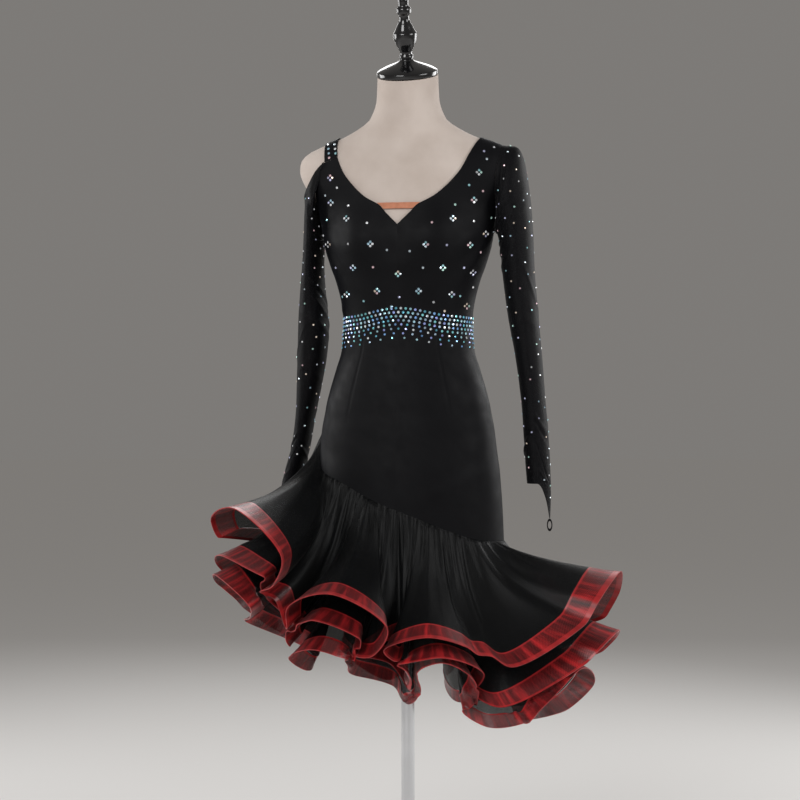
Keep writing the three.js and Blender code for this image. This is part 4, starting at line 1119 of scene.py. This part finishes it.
def hem_points(folds, place):
    """Points of the hem, spread out between its stops and along its length."""
    stops = hem_stops(folds)
    fine = np.arange(FOLD_COUNT * HEM_STEPS + 1) / HEM_STEPS
    length = np.linalg.norm(np.diff(smooth_path(stops, fine * CONTROLS - 1, closed=True), axis=0), axis=-1)
    length = length.reshape(FOLD_COUNT, HEM_STEPS)
    share = length / length.sum(axis=1, keepdims=True)
    spread = np.concatenate([[0], np.cumsum(mix(1 / HEM_STEPS, share, EVENNESS))])
    return smooth_path(stops, np.interp(place, spread, fine) * CONTROLS - 1, closed=True)


# %% A tier before it rests on anything, and the tier at rest
def section_turn(turn, z):
    """The turn in the form's own sections of a direction from the pole."""
    ahead = np.cos(np.radians(turn)) > 0
    depth = np.where(ahead, along(FIGURE, "z", "front", z), along(FIGURE, "z", "back", z))
    side = along(FIGURE, "z", "side", z)
    own = np.degrees(np.arctan2(np.sin(np.radians(turn)) / side, np.cos(np.radians(turn)) / depth))
    return own + 360 * np.round(turn / 360)


def seam_points(place, depth):
    turn = section_turn(FIRST_HOLLOW + place * FOLD_PITCH, np.full_like(place, 740.0))
    return dress_point(turn, seam_height(turn), depth)


GAP_SEAM, GAP_HEM, GAP_ROWS = 2.6, 12, 4
SPILL = 1.5  # slope at which a tier may come out again past the hem of the one over it
COVER_ROWS, FELT_AROUND, ROUNDS = 24, 4 * FINE, 5


def free_tier(folds, sewn, shares):
    """Points of a tier, a row of shares from the seam to the hem for each place along it."""
    place = np.arange(COLUMNS) / (16 * FINE)
    top = seam_points(place, sewn) - np.array([0, 0, SEAM_GAP])
    end = hem_points(folds, place)
    bend = top + (end - top) * np.array([FLARE_OUT, FLARE_OUT, FLARE_DOWN])
    s = shares[:, :, None]
    points = top[:, None] * (1 - s) ** 2 + bend[:, None] * 2 * s * (1 - s) + end[:, None] * s**2
    down = np.minimum(1, shares * np.linalg.norm(end - top, axis=1)[:, None] / GATHER_REACH)
    wave = (1 - np.cos(2 * math.pi * GATHERS_PER_FOLD * place)) / 2
    out = GATHER_DEPTH * np.sin(math.pi * down) * wave[:, None]
    return points + away(FIRST_HOLLOW + place * FOLD_PITCH)[:, None] * out[..., None]


def pushes_from(cover, normals, points):
    """How each point is moved so that it keeps clear of the tier that covers it."""
    around = np.arange(-FELT_AROUND, FELT_AROUND + 1)
    row = np.tile(np.arange(cover.shape[1]), len(around))
    push = np.zeros(points.shape)
    for i in range(COLUMNS):
        near = cover[(i + around) % COLUMNS].reshape(-1, 3)
        facing = normals[(i + around) % COLUMNS].reshape(-1, 3)
        reach = np.linalg.norm(points[i][:, None] - near[None], axis=-1)
        best = reach.argmin(axis=1)
        nearest = reach.min(axis=1)
        offset = points[i] - near[best]
        depth = (offset * facing[best]).sum(axis=-1)
        past = np.sqrt(np.maximum(0, nearest**2 - depth**2))
        beyond = (row[best] == COVER_ROWS) & (past > SPILL * np.abs(depth))
        gap = mix(GAP_SEAM, GAP_HEM, np.minimum(1, row[best] / GAP_ROWS))
        inwards = facing[best] * np.maximum(gap - depth, 0)[:, None]
        outwards = offset * np.maximum(GAP_HEM / np.maximum(nearest, 1) - 1, 0)[:, None]
        push[i] = np.where(beyond[:, None], outwards, inwards)
    return push


def resting_tier(points, cover):
    """The tier's points, moved wherever they would come too near the tier that covers them."""
    if cover is None:
        return points
    normals = inward_normals(cover, True)
    for turn in range(ROUNDS):
        push = pushes_from(cover, normals, points)
        for shift in (1, 2, FINE) if turn < ROUNDS - 1 else ():
            push = (push * 2 + np.roll(push, shift, axis=0) + np.roll(push, -shift, axis=0)) / 4
        push[:, 0] = 0  # the sewn edge stays
        points = points + push
    return points


# %% [markdown]
# Between the folds of the CAD model the real organza has finer form: gathers of uneven depth under the
# seam, and long soft creases that run from them towards the hem. All three tiers take the same ones, so
# that they go on lying inside each other.

# %% Gathers and creases of the organza
LONG_CREASES = table("place width depth start end drift", [
    (0.10, 0.020, 4.0, 0.0, 0.85, 0.02),
    (0.24, 0.016, -3.2, 0.0, 0.70, 0.03),
    (0.38, 0.022, 4.4, 0.0, 0.90, -0.02),
    (0.62, 0.018, -3.6, 0.0, 0.75, 0.02),
    (0.80, 0.022, 4.2, 0.0, 0.92, -0.03),
    (1.08, 0.018, 3.6, 0.0, 0.70, 0.03),
    (1.27, 0.015, -3.0, 0.0, 0.62, 0.02),
    (1.44, 0.022, 4.2, 0.0, 0.85, 0.00),
    (1.66, 0.018, -3.4, 0.0, 0.72, -0.02),
    (1.86, 0.022, 3.8, 0.0, 0.90, 0.02),
    (2.12, 0.018, 3.6, 0.0, 0.80, 0.02),
    (2.30, 0.016, -3.2, 0.0, 0.66, 0.02),
    (2.52, 0.024, 4.4, 0.0, 0.88, -0.02),
    (2.74, 0.018, -3.4, 0.0, 0.70, 0.00),
    (2.93, 0.020, 3.8, 0.0, 0.84, 0.02),
    (3.15, 0.018, 3.8, 0.0, 0.86, 0.02),
    (3.33, 0.016, -3.6, 0.0, 0.80, 0.03),
    (3.47, 0.018, 4.2, 0.0, 0.92, -0.02),
    (3.60, 0.016, -3.2, 0.0, 0.76, 0.00),
    (3.78, 0.020, 4.2, 0.0, 0.88, 0.02),
    (4.10, 0.020, 3.8, 0.0, 0.80, 0.02),
    (4.34, 0.017, -3.2, 0.0, 0.70, -0.02),
    (4.58, 0.022, 4.2, 0.0, 0.88, 0.02),
    (4.82, 0.018, -3.4, 0.0, 0.72, 0.00),
    (5.06, 0.020, 3.8, 0.0, 0.84, 0.02),
    (5.30, 0.017, -3.0, 0.0, 0.68, 0.02),
    (5.55, 0.022, 4.4, 0.0, 0.90, -0.02),
    (5.80, 0.018, -3.4, 0.0, 0.74, 0.02),
    (6.08, 0.020, 3.8, 0.0, 0.82, 0.00),
    (6.34, 0.017, -3.2, 0.0, 0.70, 0.02),
    (6.58, 0.022, 4.2, 0.0, 0.88, -0.02),
    (6.84, 0.018, -3.2, 0.0, 0.72, 0.02),
])
GATHER_WAVES = table("count phase depth", [(97, 0.3, 0.55), (139, 1.9, 0.45), (181, 4.1, 0.35), (61, 2.6, 0.5)])


def organza_relief(shares, lengths):
    """How far the organza stands out from the CAD model's folds, in millimetres."""
    place = (np.arange(COLUMNS) / (16 * FINE))[:, None]
    out = np.zeros(shares.shape)
    for at, width, depth, start, end, drift in zip(*LONG_CREASES.values()):
        aside = (place - at - drift * shares + FOLD_COUNT / 2) % FOLD_COUNT - FOLD_COUNT / 2
        fade = np.sin(math.pi * np.clip((shares - start) / (end - start), 0, 1)) ** 0.7
        out += depth * fade * np.exp(-((aside / (width * (1 + 1.6 * shares))) ** 2))
    below = shares * lengths[:, None]
    fade = np.clip(below / 12, 0, 1) * np.exp(-below / 70)
    for count, phase, depth in zip(*GATHER_WAVES.values()):
        out += depth * fade * np.sin(2 * math.pi * count * place / FOLD_COUNT + phase)
    return out


# %% Cut each tier into its organza and its braid
FRONT_COLUMNS = 4 * 16 * FINE
BRAID_ROWS = 8
SIDE_GAP = 0.1  # share of a fine column by which the side seams stand open
BRAID_RIM, BRAID_WEB = 1.6, 0.6  # thickness of the braid at its dense edges and between them


def strip(grid, first, last):
    """Columns first to last of a grid that closes round, a little short at both ends."""
    columns = np.arange(first, last + 1) % COLUMNS
    part = grid[columns].copy()
    part[0] = mix(part[0], part[1], SIDE_GAP)
    part[-1] = mix(part[-1], part[-2], SIDE_GAP)
    return part


def make_tier(name, folds, cover):
    cover_shares = np.tile(np.linspace(0, 1, COVER_ROWS + 1), (COLUMNS, 1))
    as_cover = resting_tier(free_tier(folds, SEWN_DEPTH[name], cover_shares), cover)
    lengths = np.linalg.norm(as_cover[:, 0] - as_cover[:, -1], axis=-1)
    cloth_end = 1 - (BRAID_WIDTH + 2 * SEAM_GAP) / lengths
    braid_start = 1 - BRAID_WIDTH / lengths
    cloth_shares = cloth_end[:, None] * np.linspace(0, 1, TIER_ROWS) ** 0.9
    braid_shares = mix(braid_start[:, None], 1.0, np.linspace(0, 1, BRAID_ROWS)[None, :])
    shares = np.concatenate([cloth_shares, braid_shares], axis=1)
    face = resting_tier(free_tier(folds, SEWN_DEPTH[name], shares), cover)
    inward = inward_normals(face, True)
    face = face - inward * organza_relief(shares, lengths)[..., None]
    inward = inward_normals(face, True)
    inward[:, 0] = unit(inward[:, 0] * np.array([1, 1, 0]))
    pieces = {}
    rim = np.abs(np.linspace(-1, 1, BRAID_ROWS)) > 0.8
    for half, (first, last) in {"front": (0, FRONT_COLUMNS), "back": (FRONT_COLUMNS, COLUMNS)}.items():
        cloth, braid = strip(face, first, last)[:, :TIER_ROWS], strip(face, first, last)[:, TIER_ROWS:]
        side = strip(inward, first, last)
        organza = cloth_wall("organza", cloth, ORGANZA, inward=side[:, :TIER_ROWS])
        piece = f"{name}_flounce_{half}"
        pieces[piece] = finish(organza, piece, "black_organza", [f"flounce_{name}_{half}"], 70)
        web = cloth_wall("braid", braid, np.where(rim, BRAID_RIM, BRAID_WEB), inward=side[:, TIER_ROWS:])
        piece = f"{name}_braid_{half}"
        pieces[piece] = finish(web, piece, "red_braid", [f"braid_{name}_{half}"], 70)
    return pieces, as_cover


nothing_selected()
skirt, cover = {}, None
for name, folds in TIERS.items():
    pieces, cover = make_tier(name, folds, cover)
    skirt.update(pieces)

# %% [markdown]
# ## Rhinestones
# A stage dress is covered with glued glass stones. Each is a low faceted cone with a flat table, foiled
# behind. One stone is modelled and then copied to every place, turned to face out of the cloth there.

# %% One stone
STONE_SIDES = 8


def make_stone():
    """A stone one unit wide: girdle, sloping crown and table, with a back that sinks into the cloth."""
    bpy.ops.mesh.primitive_cone_add(vertices=STONE_SIDES, radius1=0.5, radius2=0.28, depth=0.26, location=(0, 0, 0.17))
    bpy.ops.object.mode_set(mode="EDIT")
    bpy.ops.mesh.select_all(action="DESELECT")
    shape = bmesh.from_edit_mesh(bpy.context.object.data)
    shape.faces.ensure_lookup_table()
    for face in shape.faces:
        if face.normal.z < -0.9:
            face.select_set(True)
    bpy.ops.mesh.extrude_region_move(TRANSFORM_OT_translate={"value": (0, 0, -0.07)})
    bpy.ops.object.mode_set(mode="OBJECT")
    stone = bpy.context.object
    bpy.ops.object.transform_apply(location=True, rotation=True, scale=True)
    points = np.array([v.co for v in stone.data.vertices])
    faces = [tuple(p.vertices) for p in stone.data.polygons]
    bpy.data.objects.remove(stone)
    return points, faces


nothing_selected()
STONE_POINTS, STONE_FACES = make_stone()
print("stone:", len(STONE_FACES), "faces")

# A stone is clear, but its coating throws back one of these tints; the stones' painted glow is in the same tint. The
# waist's stones are bluer.
TINTS = np.array([
    (0.95, 0.97, 1.0), (0.95, 0.97, 1.0), (0.80, 0.92, 1.0), (0.55, 0.80, 0.95), (0.45, 0.82, 0.88),
    (0.62, 0.95, 0.85), (1.0, 0.84, 0.70), (1.0, 0.70, 0.76), (0.70, 0.72, 1.0),
])
WAIST_TINTS = np.array([
    (0.90, 0.96, 1.0), (0.60, 0.80, 1.0), (0.28, 0.52, 0.92), (0.20, 0.62, 0.80), (0.30, 0.78, 0.82),
    (0.40, 0.46, 0.90), (0.55, 0.88, 0.98),
])


def set_stones(name, places, normals, sizes, cloth, seed, tints=TINTS):
    """One piece with a stone at each place, in millimetres, facing along its normal."""
    rng = np.random.default_rng(seed)
    normals = unit(normals)
    aside = unit(np.cross(normals, [0.02, 0.1, 1.0]))
    spin = rng.uniform(0, 2 * math.pi, len(places))[:, None]
    tilt = rng.normal(0, 0.07, (len(places), 3))
    normals = unit(normals + tilt)
    first = unit(np.cos(spin) * aside + np.sin(spin) * np.cross(normals, aside))
    second = unit(np.cross(normals, first))
    first = np.cross(second, normals)
    local = STONE_POINTS[None] * np.asarray(sizes, float).reshape(-1, 1, 1)
    points = (places[:, None] + local[..., :1] * first[:, None] + local[..., 1:2] * second[:, None]
              + local[..., 2:] * normals[:, None]) * MM
    faces = [tuple(v + i * len(STONE_POINTS) for v in face) for i in range(len(places)) for face in STONE_FACES]
    mesh = bpy.data.meshes.new(name)
    mesh.from_pydata(points.reshape(-1, 3).tolist(), [], faces)
    tint = tints[rng.integers(0, len(tints), len(places))] * rng.uniform(0.5, 1.0, (len(places), 1))
    corners = sum(len(face) for face in STONE_FACES)
    colours = np.repeat(np.column_stack([tint, np.ones(len(places))]), corners, axis=0)
    mesh.attributes.new("tint", "FLOAT_COLOR", "CORNER").data.foreach_set("color", colours.astype(np.float32).ravel())
    piece = bpy.data.objects.new(name, mesh)
    bpy.context.collection.objects.link(piece)
    finish(piece, name, "clear_crystal", [], 5)
    print(f"  {len(places)} stones on {cloth.name}")
    return piece


# %% [markdown]
# The bodice carries a repeat of four-stone diamonds with single stones between them. Their places are
# given as they are seen from the camera, in millimetres to the right of the pole and above the floor,
# and each is carried straight back on to the cloth.

# %% Where the bodice's stones are
DIAMONDS = [
    (-140, 1300), (-139, 1255), (-111, 1227), (-68, 1181), (-144, 1180), (-99, 1138), (-18, 1127),
    (-56, 1096), (19, 1096), (-110, 1090), (32, 1180), (63, 1138), (81, 1227), (119, 1260), (128, 1310),
    (112, 1179), (140, 1199), (117, 1129), (79, 1090), (106, 1069),
]
SINGLES = [
    (-128, 1282), (-149, 1268), (-108, 1250), (-146, 1224), (-74, 1219), (-108, 1181), (-38, 1170),
    (3, 1168), (-63, 1139), (-130, 1138), (27, 1138), (70, 1179), (43, 1220), (85, 1252), (110, 1287),
    (135, 1276), (119, 1222), (137, 1348), (155, 1355), (142, 1334), (131, 1166), (101, 1138), (117, 1103),
    (-80, 1078), (-16, 1085), (46, 1076), (94, 1087), (-118, 1086), (-152, 1196), (-134, 1110), (150, 1228),
    (-30, 1068), (66, 1060), (-122, 1064),
]
DIAMOND_PITCH = 7.6  # between the stones of a diamond, corner to corner
STONE = 4.6
CAMERA_PLACE = np.array(camera.location) / MM


def onto_cloth(piece, starts, toward):
    """Where rays from points, in millimetres, first meet a piece, and which way it faces there."""
    tree = BVHTree.FromObject(piece, bpy.context.evaluated_depsgraph_get())
    places, normals = [], []
    for start, way in zip(starts, np.broadcast_to(toward, starts.shape)):
        place, normal, _, _ = tree.ray_cast(Vector(start) * MM, Vector(way))
        if place is not None:
            places.append(np.array(place) / MM)
            normals.append(np.array(normal))
    return np.array(places).reshape(-1, 3), np.array(normals).reshape(-1, 3)


def as_seen(spots, behind=False):
    """Starts and directions of rays for spots (across, height), from the camera or from behind."""
    spots = np.array(spots, float)
    angle = math.radians(CAMERA_TURN + (180 if behind else 0))
    right = np.array([math.cos(angle), math.sin(angle), 0])
    aimed = spots[:, :1] * right + spots[:, 1:] * np.array([0, 0, 1.0])
    eye = CAMERA_PLACE * np.array([-1, -1, 1] if behind else [1, 1, 1])
    return np.broadcast_to(eye, aimed.shape), unit(aimed - eye)


def diamond(spot):
    x, z = spot
    half = DIAMOND_PITCH / 2
    return [(x, z + half), (x - half, z), (x + half, z), (x, z - half)]


bodice_spots = [stone for spot in DIAMONDS for stone in diamond(spot)] + SINGLES
places, normals = onto_cloth(front, *as_seen(bodice_spots))
stones_front = set_stones("bodice_stones_front", places, normals, STONE, front, 11)

BACK_TOP = 1286  # the repeat behind stops under the scooped neckline
back_spots = [spot for spot in bodice_spots if spot[1] < BACK_TOP]
places, normals = onto_cloth(back, *as_seen(back_spots, behind=True))
stones_back = set_stones("bodice_stones_back", places, normals, STONE, back, 12)

# %% [markdown]
# A band of stones marks the waist all round. Its rows follow an arch, highest at the middle of the
# front. The upper rows are packed close in a stagger, and the lower ones thin out.

# %% The waist band
BAND_TOP = table("turn z", [(-180, 1052), (-90, 1046), (-45, 1049), (0, 1062), (45, 1049), (90, 1046), (180, 1052)])
BAND_ROWS = table("drop pitch size", [
    (0, 8.6, 4.8), (7.2, 8.6, 4.8), (14.4, 8.8, 4.8), (21.6, 9.4, 4.6), (28.8, 10.6, 4.4), (36.4, 13.2, 4.2),
    (44.4, 17.0, 4.0), (52.6, 22.0, 3.8),
])


def band_places():
    """Places round the waist, row by row, each at an even pitch along the cloth."""
    fine = np.linspace(-180, 180, 1441)
    places, normals, sizes = [], [], []
    for row, (drop, pitch, size) in enumerate(zip(*BAND_ROWS.values())):
        z = along(BAND_TOP, "turn", "z", fine) - drop
        line = sheath_point(fine, z)
        run = np.concatenate([[0], np.cumsum(np.linalg.norm(np.diff(line, axis=0), axis=1))])
        count = round(run[-1] / pitch)
        turn = np.interp((np.arange(count) + 0.5 * (row % 2)) * run[-1] / count, run, fine)
        z = along(BAND_TOP, "turn", "z", turn) - drop
        places.append(sheath_point(turn, z))
        normals.append(form_normal(turn, z))
        sizes.append(np.full(count, size))
    return np.concatenate(places), np.concatenate(normals), np.concatenate(sizes)


places, normals, sizes = band_places()
in_front = places[:, 1] < 0
stones_waist = set_stones(
    "waist_stones_front", places[in_front], normals[in_front], sizes[in_front], front, 21, WAIST_TINTS,
)
stones_waist_back = set_stones(
    "waist_stones_back", places[~in_front], normals[~in_front], sizes[~in_front], back, 22, WAIST_TINTS,
)

# %% The strap's two columns of stones
STRAP_STONES, STRAP_STONE_PITCH, STRAP_STONE_TOP = 6, 8.0, 1368
strap_spots = [
    (-144.5 + 12.0 * column + 0.08 * k * STRAP_STONE_PITCH, STRAP_STONE_TOP - k * STRAP_STONE_PITCH)
    for k in range(STRAP_STONES) for column in range(2)
]
places, normals = onto_cloth(strap, *as_seen(strap_spots))
stones_strap = set_stones("strap_stones", places, normals, 4.8, strap, 31)

# %% [markdown]
# The sleeves are strewn with single stones. They aren't in rows, but no two are close, so they are
# placed on a slanting lattice and each is then moved a little.

# %% Stones on the sleeves
SLEEVE_STONE_PITCH = 27.0
LEAST_APART = 17.0  # any stone nearer than this to one already set is left out
LATTICE_SLANT = 0.31


def strewn(piece, rows, first_edge, side, seed):
    rng = np.random.default_rng(seed)
    turns = -side * np.arange(SLEEVE_COLUMNS) * 360 / SLEEVE_COLUMNS
    grid = sleeve_surface(rows, first_edge, turns, np.linspace(0.03, 0.985, 160))
    inward = inward_normals(grid, True)
    inward *= np.sign(np.median(((grid.mean(axis=0, keepdims=True) - grid) * inward).sum(axis=-1)))
    length = np.linalg.norm(np.diff(grid[0], axis=0), axis=-1).sum()
    count = int(length / (SLEEVE_STONE_PITCH * 0.8))
    starts, ways = [], []
    for ring in range(count):
        j = int((ring + 0.5) / count * (grid.shape[1] - 1))
        girth = np.linalg.norm(np.diff(grid[:, j], axis=0), axis=-1).sum()
        around = max(3, round(girth / (SLEEVE_STONE_PITCH * 1.25)))
        for k in range(around):
            turn = (k / around + LATTICE_SLANT * ring + rng.normal(0, 0.022)) % 1
            i = int(turn * SLEEVE_COLUMNS) % SLEEVE_COLUMNS
            row = int(np.clip(j + rng.normal(0, 1.2), 0, grid.shape[1] - 1))
            starts.append(grid[i, row] - inward[i, row] * 15)
            ways.append(inward[i, row])
    places, normals = onto_cloth(piece, np.array(starts), np.array(ways))
    kept = []
    for i, place in enumerate(places):
        if all(np.linalg.norm(place - places[k]) > LEAST_APART for k in kept):
            kept.append(i)
    return places[kept], normals[kept]


places, normals = strewn(sleeve_right, SET_IN, set_in_edge, 1, 41)
stones_right = set_stones("sleeve_stones_set_in", places, normals, 3.4, sleeve_right, 42)
places, normals = strewn(sleeve_left, OFF_SHOULDER, off_shoulder_edge, -1, 43)
stones_left = set_stones("sleeve_stones_off_shoulder", places, normals, 3.4, sleeve_left, 44)

# %% [markdown]
# ## How the flounces are cut
# The flounces are cut as parts of a ring, so their area is well below that of the rectangle they fit in.


# %% [markdown]
# ## The studio
# Black cloth shows its form only in what it reflects. A large soft light stands at each side, a little
# behind, to draw the edges, and a broad one in front fills in the rest. The floor is plain and pale.

# %% Floor and lights
FLOOR_RADIUS = 30.0
nothing_selected()
bpy.ops.mesh.primitive_circle_add(vertices=128, radius=FLOOR_RADIUS, fill_type="NGON", location=(0, 0, -0.0005))
floor = bpy.context.object
floor.name = "studio_floor"
FLOOR_TONE = 0.62  # share of light that the floor gives back; it glows by the rest, so no horizon shows
AIR = np.array([0.205, 0.196, 0.186])
floor_look = material(
    "pale floor", Base_Color=(FLOOR_TONE, FLOOR_TONE * 0.985, FLOOR_TONE * 0.97, 1), Roughness=0.9,
    Specular_IOR_Level=0.0, Emission_Color=(*AIR, 1), Emission_Strength=1 - FLOOR_TONE,
)[0]
floor.data.materials.append(floor_look)

world = bpy.data.worlds.new("studio")
bpy.context.scene.world = world
world.use_nodes = True
world.node_tree.nodes["Background"].inputs["Color"].default_value = (*AIR, 1)
bpy.context.scene.view_settings.view_transform = "Standard"

LIGHTS = table("turn distance height size power", [
    (-28, 3.4, 2.5, 1.6, 62),
    (62, 3.2, 2.2, 1.6, 42),
    (-112, 2.6, 1.7, 1.4, 30),
    (128, 2.6, 1.7, 1.4, 30),
    (180, 3.0, 2.6, 1.6, 24),
])
AIM = Vector((0, 0, 0.95))
for number, (turn, distance, height, size, power) in enumerate(zip(*LIGHTS.values())):
    place = Vector(away(turn + CAMERA_TURN) * distance) + Vector((0, 0, height))
    bpy.ops.object.light_add(type="AREA", location=place)
    light = bpy.context.object
    light.name = f"soft_light_{number}"
    light.rotation_euler = (AIM - place).to_track_quat("-Z", "Y").to_euler()
    light.data.size, light.data.energy = size, power
